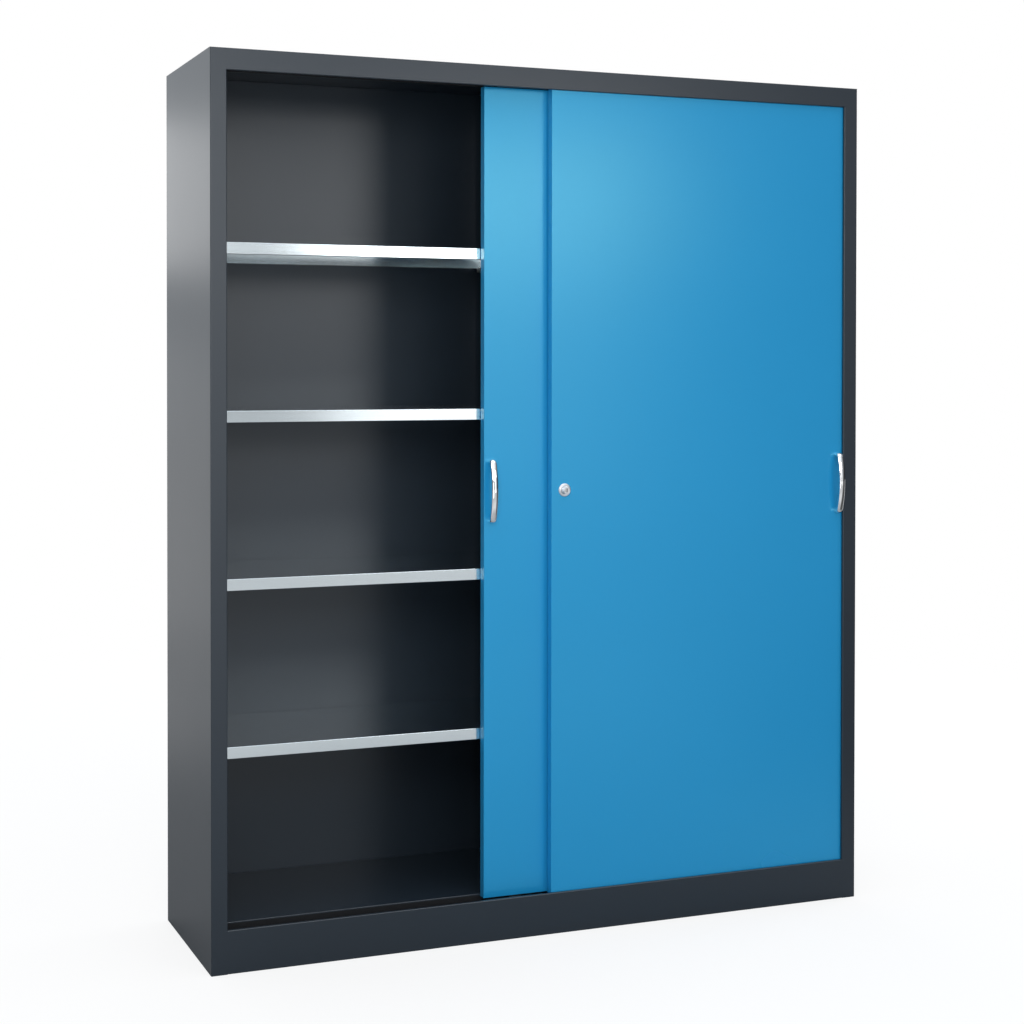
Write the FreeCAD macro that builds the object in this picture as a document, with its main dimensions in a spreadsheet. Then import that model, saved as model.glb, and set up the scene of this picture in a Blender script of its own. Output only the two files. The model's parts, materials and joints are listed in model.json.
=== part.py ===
import FreeCAD, Part
import math
import os

import Sketcher

# A free-standing steel cabinet with two sliding doors, in millimetres.
# +X runs to the right as seen from the front, the front faces -Y and +Z points up.
# The origin is on the floor, in the middle of the whole object, door handles included.
# Depths are first thought of as distances behind the front face of the frame, which lies at FRONT.

SIZES = {
    # The body.
    "overall_width": 1600.0,
    "overall_height": 1950.0,
    "overall_depth": 400.0,
    "body_sheet": 1.0,
    "body_bend": 2.0,  # outer radius of a bend in the body's sheet
    "stile_width": 36.0,
    "top_rail_height": 46.0,
    "bottom_rail_height": 93.0,
    "frame_hem": 6.0,  # the narrow edge turned back round the door opening
    "rear_return": 20.0,
    "plinth_flange": 25.0,
    "rear_plinth_height": 60.0,
    "back_bottom": 30.0,  # height of the back panels' lower edge
    "back_seam": 0.5,
    "floor_front_fold": 33.0,
    "floor_rear_fold": 22.0,
    "floor_bend": 1.6,
    "partition_thickness": 20.0,
    # The doors.
    "door_overlap": 15.0,  # of the two doors in the middle, both closed
    "door_strip": 155.0,  # how much of the opened rear door shows beside the front one
    "door_thickness": 19.0,
    "door_sheet": 1.0,
    "door_bend": 2.0,
    "door_round": 0.9,  # outer radius of the pressed edges round a door's face
    "door_hem": 15.0,
    "door_recess": 8.0,  # the front door's face behind the front of the frame
    "door_gap": 6.0,  # between the two doors
    "door_side_cover": 3.5,  # a closed door behind its stile
    "door_top_cover": 3.0,
    "door_bottom_cover": 5.0,
    "stiffener_width": 52.0,
    "stiffener_flange": 15.0,
    "stiffener_depth": 15.0,
    "stiffener_end": 60.0,  # from the door's ends
    # The tracks.
    "track_sheet": 1.2,
    "top_track_clearance": 2.0,  # above the doors
    "bottom_track_depth": 19.0,  # below the cabinet's floor
    "rib_height": 5.7,
    "rib_width": 2.4,
    "rib_round": 0.8,
    "channel_rear_wall": 16.0,
    "channel_rear_clearance": 1.0,  # behind the rear door
    # The guide blocks on the doors and their stops in the top track.
    "guide_inset": 60.0,
    "guide_length": 40.0,
    "guide_height": 28.0,
    "guide_clearance": 0.5,
    "guide_stem_radius": 3.0,
    "guide_stem_length": 7.0,
    "guide_chamfer": 2.0,
    "stop_length": 20.0,
    "stop_height": 23.0,
    "stop_clearance": 0.3,
    # The rollers under the doors.
    "roller_inset": 80.0,
    "roller_radius": 15.0,  # at the bottom of the groove, where it rides on the rib
    "roller_flange": 3.0,
    "roller_width": 9.0,
    "groove_clearance": 0.3,  # on each side of the rib
    "groove_flare": 1.1,
    "roller_clearance": 0.3,
    "axle_radius": 2.5,
    "axle_clearance": 0.05,
    "axle_end": 1.0,  # outside the bracket at each end
    "bracket_length": 60.0,
    "bracket_side_gap": 1.0,  # on each side of the roller
    "bracket_height": 18.0,
    "bracket_sheet": 1.5,
    "bracket_bend": 2.0,
    "roller_slot_end_gap": 2.0,
    "roller_slot_side_gap": 0.5,
    # The handles.
    "grip_rise": 5.5,  # of the handles and the lock above the middle of the doors
    "handle_inset": 17.0,  # from the door's edge to the middle of the handle
    "handle_length": 145.0,
    "handle_width": 15.0,
    "handle_thickness": 7.0,
    "handle_projection": 27.0,
    "handle_rise": 12.0,  # how much further the middle of the bow stands out than its ends
    "handle_leg": 10.0,
    "handle_round": 2.5,
    "screw_radius": 2.0,
    "screw_clearance": 0.05,
    "screw_length": 9.0,
    "screw_head_radius": 4.0,
    "screw_head_height": 3.0,
    # The push-cylinder lock.
    "lock_inset": 32.5,
    "rosette_radius": 15.0,
    "rosette_height": 2.5,
    "rosette_chamfer": 0.8,
    "barrel_radius": 11.0,
    "barrel_recess": 2.0,  # short of the door's rear
    "barrel_end_wall": 2.0,
    "cylinder_radius": 9.0,
    "cylinder_projection": 10.0,
    "cylinder_length": 18.5,
    "cylinder_chamfer": 0.6,
    "core_radius": 5.0,
    "core_projection": 0.5,
    "core_length": 13.0,
    "key_slot_width": 2.0,
    "key_slot_height": 8.0,
    "key_slot_depth": 10.0,
    "bolt_radius": 4.0,
    "bolt_recess": 0.7,  # short of the door's rear while the cylinder stands out
    "bolt_chamfer": 0.8,
    "lock_clearance": 0.05,
    "bolt_clearance": 0.1,
    "nut_radius": 15.0,
    "nut_height": 5.0,
    "spring_wire": 0.9,
    "spring_radius": 6.3,
    "spring_turns": 4.0,
    "spring_end_gap": 0.1,
    "strike_sheet": 1.5,
    "strike_height": 40.0,
    "strike_leg": 19.0,
    "strike_end": 14.5,  # from the slot's middle to the plate's right edge
    "strike_bend": 2.0,
    "strike_slot": 12.0,
    # The shelves and what carries them.
    "shelf_count": 4,
    "first_shelf": 467.5,
    "shelf_spacing": 360.0,
    "shelf_sheet": 1.0,
    "shelf_height": 25.0,
    "shelf_lip": 12.0,
    "shelf_round": 0.9,
    "shelf_front_gap": 0.8,  # behind the floor's front edge
    "shelf_rear_gap": 1.0,
    "shelf_side_gap": 0.5,
    "rail_width": 25.0,
    "rail_depth": 8.0,
    "rail_sheet": 1.5,
    "rail_bend": 2.0,
    "rail_front": 15.0,  # behind the shelves' front
    "rail_rear": 18.0,  # in front of the back panels
    "rail_top_gap": 4.0,
    "slot_pitch": 30.0,
    "slot_end": 15.0,  # from the end slots' middles to the ends of the rail, at the least
    "slot_width": 6.0,
    "slot_height": 16.0,
    "clip_width": 14.0,
    "clip_reach": 15.0,
    "clip_height": 10.0,
    "clip_tab_clearance": 0.5,  # on each side in its slot
    "clip_tab_play": 4.0,  # above and below it in its slot
    "clip_tab_length": 4.0,
    # Levelling feet inside the plinth.
    "foot_inset_x": 30.0,
    "foot_inset_front": 84.0,  # from the front
    "foot_rear_gap": 1.0,  # between a pad and the rear plinth's flange
    "foot_clearance": 0.5,  # above the floor while screwed in
    "foot_pad_radius": 14.0,
    "foot_pad_height": 6.0,
    "foot_stem_radius": 5.0,
    "foot_stem_length": 60.0,
    "foot_thread_clearance": 0.05,
    "foot_nut_radius": 9.0,
    "foot_nut_height": 8.0,
    "foot_bracket_sheet": 2.0,
    "foot_bracket_bend": 3.0,
    "foot_bracket_width": 50.0,
    "foot_bracket_reach": 56.0,
    "foot_bracket_drop": 30.0,
    "foot_bracket_level": 42.0,
    # Rivets that hold the back panels to the partition.
    "rivet_count": 7,
    "rivet_offset": 5.5,
    "rivet_end_inset": 100.0,
    "rivet_head_radius": 3.2,
    "rivet_head_height": 0.9,
    "rivet_radius": 1.6,
    "rivet_length": 4.0,
}

doc = FreeCAD.newDocument("cabinet")
sheet = doc.addObject("Spreadsheet::Sheet", "Sizes")
nodes = []


def fill_sheet():
    """Write every driving size into the spreadsheet, one named cell each."""
    for row, (name, value) in enumerate(SIZES.items(), 1):
        sheet.set(f"A{row}", name)
        sheet.set(f"B{row}", str(value))
        sheet.setAlias(f"B{row}", name)
    doc.recompute()


class Length:
    """A number together with the spreadsheet formula that gives it."""

    def __init__(self, value, formula):
        self.value = value
        self.formula = formula

    def __add__(self, other):
        other = as_length(other)
        return Length(self.value + other.value, f"({self.formula} + {other.formula})")

    def __sub__(self, other):
        other = as_length(other)
        return Length(self.value - other.value, f"({self.formula} - {other.formula})")

    def __mul__(self, other):
        other = as_length(other)
        return Length(self.value * other.value, f"({self.formula} * {other.formula})")

    def __truediv__(self, other):
        other = as_length(other)
        return Length(self.value / other.value, f"({self.formula} / {other.formula})")

    def __neg__(self):
        return self * -1


def as_length(item):
    """Give a plain number as a Length, and a Length as it is."""
    if isinstance(item, Length):
        return item
    return Length(float(item), f"({float(item)!r})")


def size(name):
    """Give the named cell of the spreadsheet as a Length."""
    return Length(float(sheet.get(name)), f"Sizes.{name}")


def bind(item, path, length):
    """Bind one property of a document object to its formula."""
    item.setExpression(path, as_length(length).formula)


def move_to(item, x, y, z):
    """Bind the place of an object."""
    item.Placement.Base = FreeCAD.Vector(as_length(x).value, as_length(y).value, as_length(z).value)
    bind(item, "Placement.Base.x", x)
    bind(item, "Placement.Base.y", y)
    bind(item, "Placement.Base.z", z)


def node(item, name):
    """Make an object one of the kept nodes, under its own name."""
    item.Label = name
    nodes.append(item)
    return item


# Part primitives and booleans.


def box(x, y, z):
    """A block between the low and high ends given for each axis."""
    item = doc.addObject("Part::Box", "Block")
    for path, (low, high) in zip(("Length", "Width", "Height"), (x, y, z)):
        bind(item, path, as_length(high) - low)
    move_to(item, x[0], y[0], z[0])
    return item


def cylinder(radius, centre, low, high, axis="Y"):
    """A round bar along Y or Z; centre gives its two other coordinates."""
    item = doc.addObject("Part::Cylinder", "Bar")
    bind(item, "Radius", radius)
    bind(item, "Height", as_length(high) - low)
    if axis == "Y":
        item.Placement.Rotation = FreeCAD.Rotation(FreeCAD.Vector(1, 0, 0), -90)
        move_to(item, centre[0], low, centre[1])
    else:
        move_to(item, centre[0], centre[1], low)
    return item


def fuse(*items):
    """One solid from several that meet."""
    item = doc.addObject("Part::MultiFuse", "Joined")
    item.Shapes = list(items)
    return item


def cut(base, *tools):
    """The base with every tool taken away from it."""
    for tool in tools:
        item = doc.addObject("Part::Cut", "Cut")
        item.Base = base
        item.Tool = tool
        base = item
    return base


def common(first, second):
    """What two solids share."""
    item = doc.addObject("Part::Common", "Shared")
    item.Base = first
    item.Tool = second
    return item


def group(items):
    """Several separate solids as one node."""
    item = doc.addObject("Part::Compound", "Group")
    item.Links = list(items)
    return item


def round_edges(base, radius, wanted):
    """Fillet the edges of a primitive shape that wanted() picks."""
    doc.recompute()
    item = doc.addObject("Part::Fillet", "Rounded")
    item.Base = base
    radius = as_length(radius).value
    item.Edges = [
        (number, radius, radius)
        for number, edge in enumerate(base.Shape.Edges, 1)
        if wanted(edge)
    ]
    return item


# Part Design bodies.


def new_body(name):
    """An empty Part Design body."""
    return doc.addObject("PartDesign::Body", name)


def origin_item(body, role):
    """One of a body's own origin planes or axes."""
    return [item for item in body.Origin.OriginFeatures if item.Role == role][0]


def new_sketch(body, plane, level):
    """A sketch parallel to one of the body's origin planes, level above it along its normal."""
    sketch = body.newObject("Sketcher::SketchObject", "Outline")
    sketch.AttachmentSupport = [(origin_item(body, plane + "_Plane"), "")]
    sketch.MapMode = "FlatFace"
    bind(sketch, "AttachmentOffset.Base.z", level)
    return sketch


def fix_point(sketch, geometry, end, point):
    """Hold one point of the sketch at its bound distances from the origin."""
    for kind, length in zip(("DistanceX", "DistanceY"), point):
        length = as_length(length)
        number = sketch.addConstraint(Sketcher.Constraint(kind, -1, 1, geometry, end, length.value))
        bind(sketch, f"Constraints[{number}]", length)


def draw_polygon(sketch, points):
    """Draw a closed outline of straight lines, with every corner bound."""
    first = sketch.GeometryCount
    corners = [FreeCAD.Vector(as_length(x).value, as_length(y).value, 0) for x, y in points]
    for start, end in zip(corners, corners[1:] + corners[:1]):
        sketch.addGeometry(Part.LineSegment(start, end), False)
    for number in range(len(points)):
        following = first + (number + 1) % len(points)
        sketch.addConstraint(Sketcher.Constraint("Coincident", first + number, 2, following, 1))
        fix_point(sketch, first + number, 1, points[number])


def draw_circle(sketch, centre, radius):
    """Draw a circle with its centre and radius bound."""
    x, y = [as_length(item) for item in centre]
    radius = as_length(radius)
    middle = FreeCAD.Vector(x.value, y.value, 0)
    upwards = FreeCAD.Vector(0, 0, 1)
    number = sketch.addGeometry(Part.Circle(middle, upwards, radius.value), False)
    fix_point(sketch, number, 3, centre)
    constraint = sketch.addConstraint(Sketcher.Constraint("Radius", number, radius.value))
    bind(sketch, f"Constraints[{constraint}]", radius)


def rectangle(x, y):
    """The four corners of a rectangle between the low and high ends given."""
    return [(x[0], y[0]), (x[1], y[0]), (x[1], y[1]), (x[0], y[1])]


def pad(body, plane, outlines, low, high):
    """Draw outlines out from low to high along the plane's axis."""
    # The XZ plane looks along -Y, so its pads start at the far end.
    level = -as_length(high) if plane == "XZ" else low
    sketch = new_sketch(body, plane, level)
    for outline in outlines:
        draw_polygon(sketch, outline)
    feature = body.newObject("PartDesign::Pad", "Pad")
    feature.Profile = sketch
    bind(feature, "Length", as_length(high) - low)
    doc.recompute()
    return feature


def pocket(body, plane, draw, low, high):
    """Take away what draw(sketch) outlines, from low to high along the plane's axis."""
    before = body.Shape.Volume
    # A pocket runs against the plane's normal, so it starts at its far end, or near end on XZ.
    level = -as_length(low) if plane == "XZ" else high
    sketch = new_sketch(body, plane, level)
    draw(sketch)
    feature = body.newObject("PartDesign::Pocket", "Pocket")
    feature.Profile = sketch
    bind(feature, "Length", as_length(high) - low)
    doc.recompute()
    if body.Shape.Volume >= before:
        raise ValueError(f"a pocket in {body.Label} cut nothing")
    return feature


def round_body(body, radius, wanted):
    """Fillet the edges of a body that wanted() picks."""
    tip = body.Tip
    names = [f"Edge{n}" for n, edge in enumerate(tip.Shape.Edges, 1) if wanted(edge)]
    feature = body.newObject("PartDesign::Fillet", "Bend")
    feature.Base = (tip, names)
    bind(feature, "Radius", radius)
    doc.recompute()
    return feature


def on_corners(plane, corners):
    """A picker for edges that run straight out of the plane at one of the corners."""
    places = [(as_length(x).value, as_length(y).value) for x, y in corners]

    def wanted(edge):
        ends = [flatten(vertex.Point, plane) for vertex in edge.Vertexes]
        if len(ends) != 2 or math.dist(*ends) > 1e-4:
            return False
        return any(math.dist(ends[0], place) < 1e-4 for place in places)

    return wanted


def flatten(point, plane):
    """The two coordinates of a point in one of the origin planes."""
    return {"XY": (point.x, point.y), "XZ": (point.x, point.z), "YZ": (point.y, point.z)}[plane]


def revolved(name, points, x, y, z):
    """A turned piece about a line along Y at x, z; points give radius and depth from y."""
    body = new_body(name)
    sketch = new_sketch(body, "XY", 0)
    draw_polygon(sketch, points)
    feature = body.newObject("PartDesign::Revolution", "Turned")
    feature.Profile = sketch
    feature.ReferenceAxis = (sketch, ["V_Axis"])
    feature.Angle = 360
    move_to(body, x, y, z)
    doc.recompute()
    return body


def folded(name, plane, path, side, low, high, thickness, bend):
    """A sheet bent at right angles along a path, drawn out from low to high.

    The sheet lies to the left of the path where side is +1 and to the right where it is -1.
    Each bend has the outer radius given, and an inner one less by the sheet's thickness.
    """
    path = [(as_length(x), as_length(y)) for x, y in path]
    headings = []
    for (x0, y0), (x1, y1) in zip(path, path[1:]):
        headings.append((step(x1.value - x0.value), step(y1.value - y0.value)))
    normals = [(-heading[1] * side, heading[0] * side) for heading in headings]
    shifts = [normals[0]]
    for before, after in zip(normals, normals[1:]):
        shifts.append((before[0] + after[0], before[1] + after[1]))
    shifts.append(normals[-1])
    offset = [(x + thickness * dx, y + thickness * dy) for (x, y), (dx, dy) in zip(path, shifts)]
    body = new_body(name)
    pad(body, plane, [path + offset[::-1]], low, high)
    outer, inner = [], []
    for number, (before, after) in enumerate(zip(headings, headings[1:]), 1):
        turn = before[0] * after[1] - before[1] * after[0]
        near, far = (path, offset) if turn * side > 0 else (offset, path)
        outer.append(near[number])
        inner.append(far[number])
    round_body(body, bend, on_corners(plane, outer))
    round_body(body, bend - thickness, on_corners(plane, inner))
    return body


def step(distance):
    """The sign of a distance, and nought for none."""
    return (distance > 1e-6) - (distance < -1e-6)


fill_sheet()

HALF_WIDTH = size("overall_width") / 2
HEIGHT = size("overall_height")
DEPTH = size("overall_depth")
SHEET = size("body_sheet")
BEND = size("body_bend")
HEM = size("frame_hem")
INNER = HALF_WIDTH - SHEET
OPENING = HALF_WIDTH - size("stile_width")
CEILING = HEIGHT - SHEET
FLOOR = size("bottom_rail_height")

# The handle on the front door stands out in front of the frame, and counts in the depth.
FRONT = (size("handle_projection") - size("door_recess") - DEPTH) / 2
REAR = FRONT + DEPTH
BACK_FACE = REAR - SHEET * 2

# Front faces of the two doors, the middle of each door's thickness and the door's ends.
DOOR = size("door_thickness")
FRONT_DOOR = FRONT + size("door_recess")
REAR_DOOR = FRONT_DOOR + DOOR + size("door_gap")
DOOR_BOTTOM = FLOOR - size("door_bottom_cover")
DOOR_TOP = HEIGHT - size("top_rail_height") + size("door_top_cover")
GRIP_MIDDLE = (DOOR_BOTTOM + DOOR_TOP) / 2 + size("grip_rise")
DOOR_WIDTH = OPENING + size("door_side_cover") + size("door_overlap") / 2
FRONT_DOOR_LEFT = OPENING + size("door_side_cover") - DOOR_WIDTH
REAR_DOOR_CLOSED = -OPENING - size("door_side_cover")
REAR_DOOR_LEFT = FRONT_DOOR_LEFT - size("door_strip")
TRAVEL = REAR_DOOR_LEFT - REAR_DOOR_CLOSED

# The bottom channel lies between the plinth and the floor panel.
TRACK = size("track_sheet")
CHANNEL_REAR = REAR_DOOR + DOOR + size("channel_rear_clearance")
FLOOR_FRONT = CHANNEL_REAR + TRACK
TRACK_FLOOR = FLOOR - size("bottom_track_depth")
RIB_TOP = TRACK_FLOOR + size("rib_height")
ROLLER_LEVEL = RIB_TOP + size("roller_clearance") + size("roller_radius")
PARTITION = size("partition_thickness") / 2
SHELF_FRONT = FLOOR_FRONT + size("shelf_front_gap")
RIVET_HOLE = size("rivet_radius") + size("screw_clearance")
AXLE_HOLE = size("axle_radius") + size("axle_clearance") / 2
ROLLER_OUTSIDE = size("roller_radius") + size("roller_flange")
BRACKET_HALF = size("roller_width") / 2 + size("bracket_side_gap") + size("bracket_sheet")

# The lock's levels from the front; it sits at LOCK_X, level with the handles.
LOCK_X = FRONT_DOOR_LEFT + size("lock_inset")
ROSETTE_FACE = FRONT_DOOR - size("rosette_height")
BARREL_END = FRONT_DOOR + DOOR - size("barrel_recess")
CYLINDER_FACE = ROSETTE_FACE - size("cylinder_projection")
CYLINDER_END = CYLINDER_FACE + size("cylinder_length")
CORE_FACE = CYLINDER_FACE - size("core_projection")
SPRING_POINTS = 24  # in each turn of the spring's middle line


def side_panel(name, side):
    """One side of the body, with its front stile and rear return folded from the same sheet."""
    path = [
        (OPENING * side, FRONT + HEM),
        (OPENING * side, FRONT),
        (HALF_WIDTH * side, FRONT),
        (HALF_WIDTH * side, REAR),
        ((HALF_WIDTH - size("rear_return")) * side, REAR),
    ]
    return node(folded(name, "XY", path, side, 0, CEILING, SHEET, BEND), name)


def top_panel():
    """The top sheet with the front rail and a rear flange; both stop between the side panels."""
    rail_bottom = HEIGHT - size("top_rail_height")
    flange_bottom = HEIGHT - size("rear_return")
    path = [
        (FRONT + HEM, rail_bottom),
        (FRONT, rail_bottom),
        (FRONT, HEIGHT),
        (REAR, HEIGHT),
        (REAR, flange_bottom),
    ]
    body = folded("TopPanel", "YZ", path, -1, -HALF_WIDTH, HALF_WIDTH, SHEET, BEND)

    def front_ends(sketch):
        draw_polygon(sketch, rectangle((-HALF_WIDTH, -OPENING), (rail_bottom, CEILING)))
        draw_polygon(sketch, rectangle((OPENING, HALF_WIDTH), (rail_bottom, CEILING)))

    def rear_ends(sketch):
        flange_end = HALF_WIDTH - size("rear_return")
        draw_polygon(sketch, rectangle((-HALF_WIDTH, -flange_end), (flange_bottom, CEILING)))
        draw_polygon(sketch, rectangle((flange_end, HALF_WIDTH), (flange_bottom, CEILING)))

    pocket(body, "XZ", front_ends, FRONT, FRONT + HEM)
    pocket(body, "XZ", rear_ends, REAR - BEND, REAR)
    return node(body, "top_panel")


def front_plinth():
    """The bottom rail of the frame, down to the floor it stands on."""
    path = [
        (FRONT + size("plinth_flange"), 0),
        (FRONT, 0),
        (FRONT, FLOOR),
        (FRONT + HEM, FLOOR),
    ]
    return node(folded("FrontPlinth", "YZ", path, -1, -OPENING, OPENING, SHEET, BEND), "front_plinth")


def rear_plinth():
    """The rear skirt between the side panels' returns."""
    path = [
        (REAR - size("plinth_flange"), 0),
        (REAR, 0),
        (REAR, size("rear_plinth_height")),
    ]
    end = HALF_WIDTH - size("rear_return")
    return node(folded("RearPlinth", "YZ", path, 1, -end, end, SHEET, BEND), "rear_plinth")


def floor_panel():
    """The cabinet's floor, folded down behind the bottom channel and in front of the back."""
    path = [
        (FLOOR_FRONT, FLOOR - size("floor_front_fold")),
        (FLOOR_FRONT, FLOOR),
        (BACK_FACE, FLOOR),
        (BACK_FACE, FLOOR - size("floor_rear_fold")),
    ]
    bend = size("floor_bend")
    return node(folded("FloorPanel", "YZ", path, -1, -INNER, INNER, SHEET, bend), "floor_panel")


def back_panels():
    """Two flat sheets that meet behind the partition, clear of the bends round them."""
    seam = size("back_seam") / 2
    edge = INNER - (BEND - SHEET)
    upright = (size("back_bottom"), HEIGHT - BEND)
    through = (BACK_FACE, BACK_FACE + SHEET)
    left = box((-edge, -seam), through, upright)
    right = box((seam, edge), through, upright)
    holes = [cylinder(RIVET_HOLE, place, through[0], through[1]) for place in rivet_places(-1)]
    node(cut(left, *holes), "back_panel_left")
    holes = [cylinder(RIVET_HOLE, place, through[0], through[1]) for place in rivet_places(1)]
    node(cut(right, *holes), "back_panel_right")


def rivet_places(side):
    """X and Z of one column of rivets, left or right of the seam."""
    count = int(SIZES["rivet_count"])
    low = FLOOR + size("rivet_end_inset")
    pitch = (CEILING - size("rivet_end_inset") - low) / (count - 1)
    return [(size("rivet_offset") * side, low + pitch * number) for number in range(count)]


def back_rivets():
    """Rivets through the back panels into the partition's rear face."""
    rivets = []
    face = BACK_FACE + SHEET
    for side in (-1, 1):
        for place in rivet_places(side):
            head = cylinder(size("rivet_head_radius"), place, face, face + size("rivet_head_height"))
            shank = cylinder(size("rivet_radius"), place, face - size("rivet_length"), face)
            rivets.append(fuse(head, shank))
    return node(group(rivets), "back_panel_rivets")


def centre_partition():
    """A hollow upright wall between the two bays, open at its ends."""
    body = new_body("Partition")
    outside = rectangle((-PARTITION, PARTITION), (SHELF_FRONT, BACK_FACE))
    inside = rectangle(
        (-PARTITION + SHEET, PARTITION - SHEET), (SHELF_FRONT + SHEET, BACK_FACE - SHEET)
    )
    pad(body, "XY", [outside, inside], FLOOR, CEILING)
    round_body(body, SHEET, on_corners("XY", outside[:2]))

    def holes(sketch):
        for side in (-1, 1):
            for place in rivet_places(side):
                draw_circle(sketch, place, RIVET_HOLE)

    pocket(body, "XZ", holes, BACK_FACE - SHEET, BACK_FACE)
    return node(body, "centre_partition")


def top_track():
    """Two channels side by side under the top sheet, open downwards."""
    top = CEILING
    web = CEILING - TRACK
    bottom = DOOR_TOP + size("top_track_clearance")
    walls = []
    for face in (FRONT_DOOR, REAR_DOOR):
        walls.append((face - TRACK, face))
        walls.append((face + DOOR, face + DOOR + TRACK))
    outline = [(walls[0][0], top), (walls[0][0], bottom), (walls[0][1], bottom), (walls[0][1], web)]
    for near, far in walls[1:3]:
        outline += [(near, web), (near, bottom), (far, bottom), (far, web)]
    near, far = walls[3]
    outline += [(near, web), (near, bottom), (far, bottom), (far, top)]
    body = new_body("TopTrack")
    pad(body, "YZ", [outline], -INNER, INNER)
    return node(body, "top_track")


def bottom_track():
    """A channel with a narrow rib for each door's rollers to ride on."""
    near = FRONT + SHEET
    front_top = FLOOR - BEND
    outline = [
        (near, front_top),
        (near, TRACK_FLOOR - TRACK),
        (FLOOR_FRONT, TRACK_FLOOR - TRACK),
        (FLOOR_FRONT, TRACK_FLOOR + size("channel_rear_wall")),
        (CHANNEL_REAR, TRACK_FLOOR + size("channel_rear_wall")),
        (CHANNEL_REAR, TRACK_FLOOR),
    ]
    rib_tops = []
    half = size("rib_width") / 2
    for face in (REAR_DOOR, FRONT_DOOR):
        middle = face + DOOR / 2
        top = [(middle + half, RIB_TOP), (middle - half, RIB_TOP)]
        outline += [(middle + half, TRACK_FLOOR), *top, (middle - half, TRACK_FLOOR)]
        rib_tops += top
    outline += [(near + TRACK, TRACK_FLOOR), (near + TRACK, front_top)]
    body = new_body("BottomTrack")
    pad(body, "YZ", [outline], -OPENING, OPENING)
    round_body(body, size("rib_round"), on_corners("YZ", rib_tops))
    return node(body, "bottom_track")


def guide_places(left):
    """X of the middles of a door's two guide blocks."""
    return left + size("guide_inset"), left + DOOR_WIDTH - size("guide_inset")


def track_stops():
    """Blocks in the top track that the guide blocks run against."""
    reach = size("guide_length") / 2 + size("stop_clearance")
    rear_closed = guide_places(REAR_DOOR_CLOSED)[0] - reach
    rear_open = guide_places(REAR_DOOR_LEFT)[1] + reach
    front_closed = guide_places(FRONT_DOOR_LEFT)[1] + reach
    front_open = guide_places(FRONT_DOOR_LEFT - TRAVEL)[0] - reach
    length = size("stop_length")
    top = CEILING - TRACK
    blocks = []
    for face, low in (
        (REAR_DOOR, rear_closed - length),
        (REAR_DOOR, rear_open),
        (FRONT_DOOR, front_closed),
        (FRONT_DOOR, front_open - length),
    ):
        blocks.append(box((low, low + length), (face, face + DOOR), (top - size("stop_height"), top)))
    return node(group(blocks), "track_stops")


# Shelves and their rails.


def bay_walls():
    """Each wall that carries rails: its name, its face and the way it faces."""
    return [
        ("left", -INNER, 1),
        ("centre_left", -PARTITION, -1),
        ("centre_right", PARTITION, 1),
        ("right", INNER, -1),
    ]


def rail_levels():
    """Middles of the lowest slot and the number of slots above it that fit under the ceiling."""
    pitch = size("slot_pitch")
    end = size("slot_end").value
    lowest = clip_level(0)
    below = int((lowest.value - FLOOR.value - end) / pitch.value)
    first = lowest - pitch * below
    room = CEILING.value - size("rail_top_gap").value - end - first.value
    return first, int(room / pitch.value) + 1


def shelf_top(number):
    """Height of a shelf's upper face."""
    return size("first_shelf") + size("shelf_spacing") * number


def clip_level(number):
    """Height of the middle of the clips under a shelf."""
    return shelf_top(number) - size("shelf_height") - size("clip_height") / 2


def rail_ends(place):
    """Front and rear edge of the front or the rear rails."""
    if place == "front":
        near = SHELF_FRONT + size("rail_front")
    else:
        near = BACK_FACE - size("rail_rear") - size("rail_width")
    return near, near + size("rail_width")


def shelf_rail(name, face, facing, low, high):
    """An upright channel with its open side to the wall and a row of slots in its face."""
    reach = face + size("rail_depth") * facing
    path = [(face, low), (reach, low), (reach, high), (face, high)]
    top = CEILING - size("rail_top_gap")
    thickness = size("rail_sheet")
    body = folded(name, "XY", path, facing, FLOOR, top, thickness, size("rail_bend"))
    first, count = rail_levels()
    middle = (low + high) / 2
    half = size("slot_width") / 2
    half_height = size("slot_height") / 2

    def slot(sketch):
        upright = (first - half_height, first + half_height)
        draw_polygon(sketch, rectangle((middle - half, middle + half), upright))

    ends = (reach - thickness, reach) if facing > 0 else (reach, reach + thickness)
    cut_slot = pocket(body, "YZ", slot, *ends)
    pattern = body.newObject("PartDesign::LinearPattern", "Slots")
    pattern.Originals = [cut_slot]
    pattern.Direction = (origin_item(body, "Z_Axis"), [""])
    pattern.Occurrences = count
    bind(pattern, "Length", size("slot_pitch") * (count - 1))
    body.Tip = pattern
    doc.recompute()
    return node(body, name)


def shelf_rails():
    """A front and a rear rail on each wall."""
    for wall, face, facing in bay_walls():
        for place in ("front", "rear"):
            shelf_rail(f"shelf_rail_{wall}_{place}", face, facing, *rail_ends(place))


def tray(name, plane, x, y, low, high, opens_high, wall, rim):
    """A sheet folded into a shallow tray: a face, four walls and a rim turned in on two or four sides.

    rim gives how far the rim reaches in along each of the plane's two axes.
    """
    body = new_body(name)
    pad(body, plane, [rectangle(x, y)], low, high)
    inside_x = (x[0] + wall, x[1] - wall)
    inside_y = (y[0] + wall, y[1] - wall)
    mouth_x = (inside_x[0] + rim[0], inside_x[1] - rim[0])
    mouth_y = (inside_y[0] + rim[1], inside_y[1] - rim[1])
    mouth = (high - wall, high) if opens_high else (low, low + wall)

    def hollow(sketch):
        draw_polygon(sketch, rectangle(inside_x, inside_y))

    def opening(sketch):
        draw_polygon(sketch, rectangle(mouth_x, mouth_y))

    pocket(body, plane, hollow, low + wall, high - wall)
    pocket(body, plane, opening, *mouth)
    return body


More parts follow.
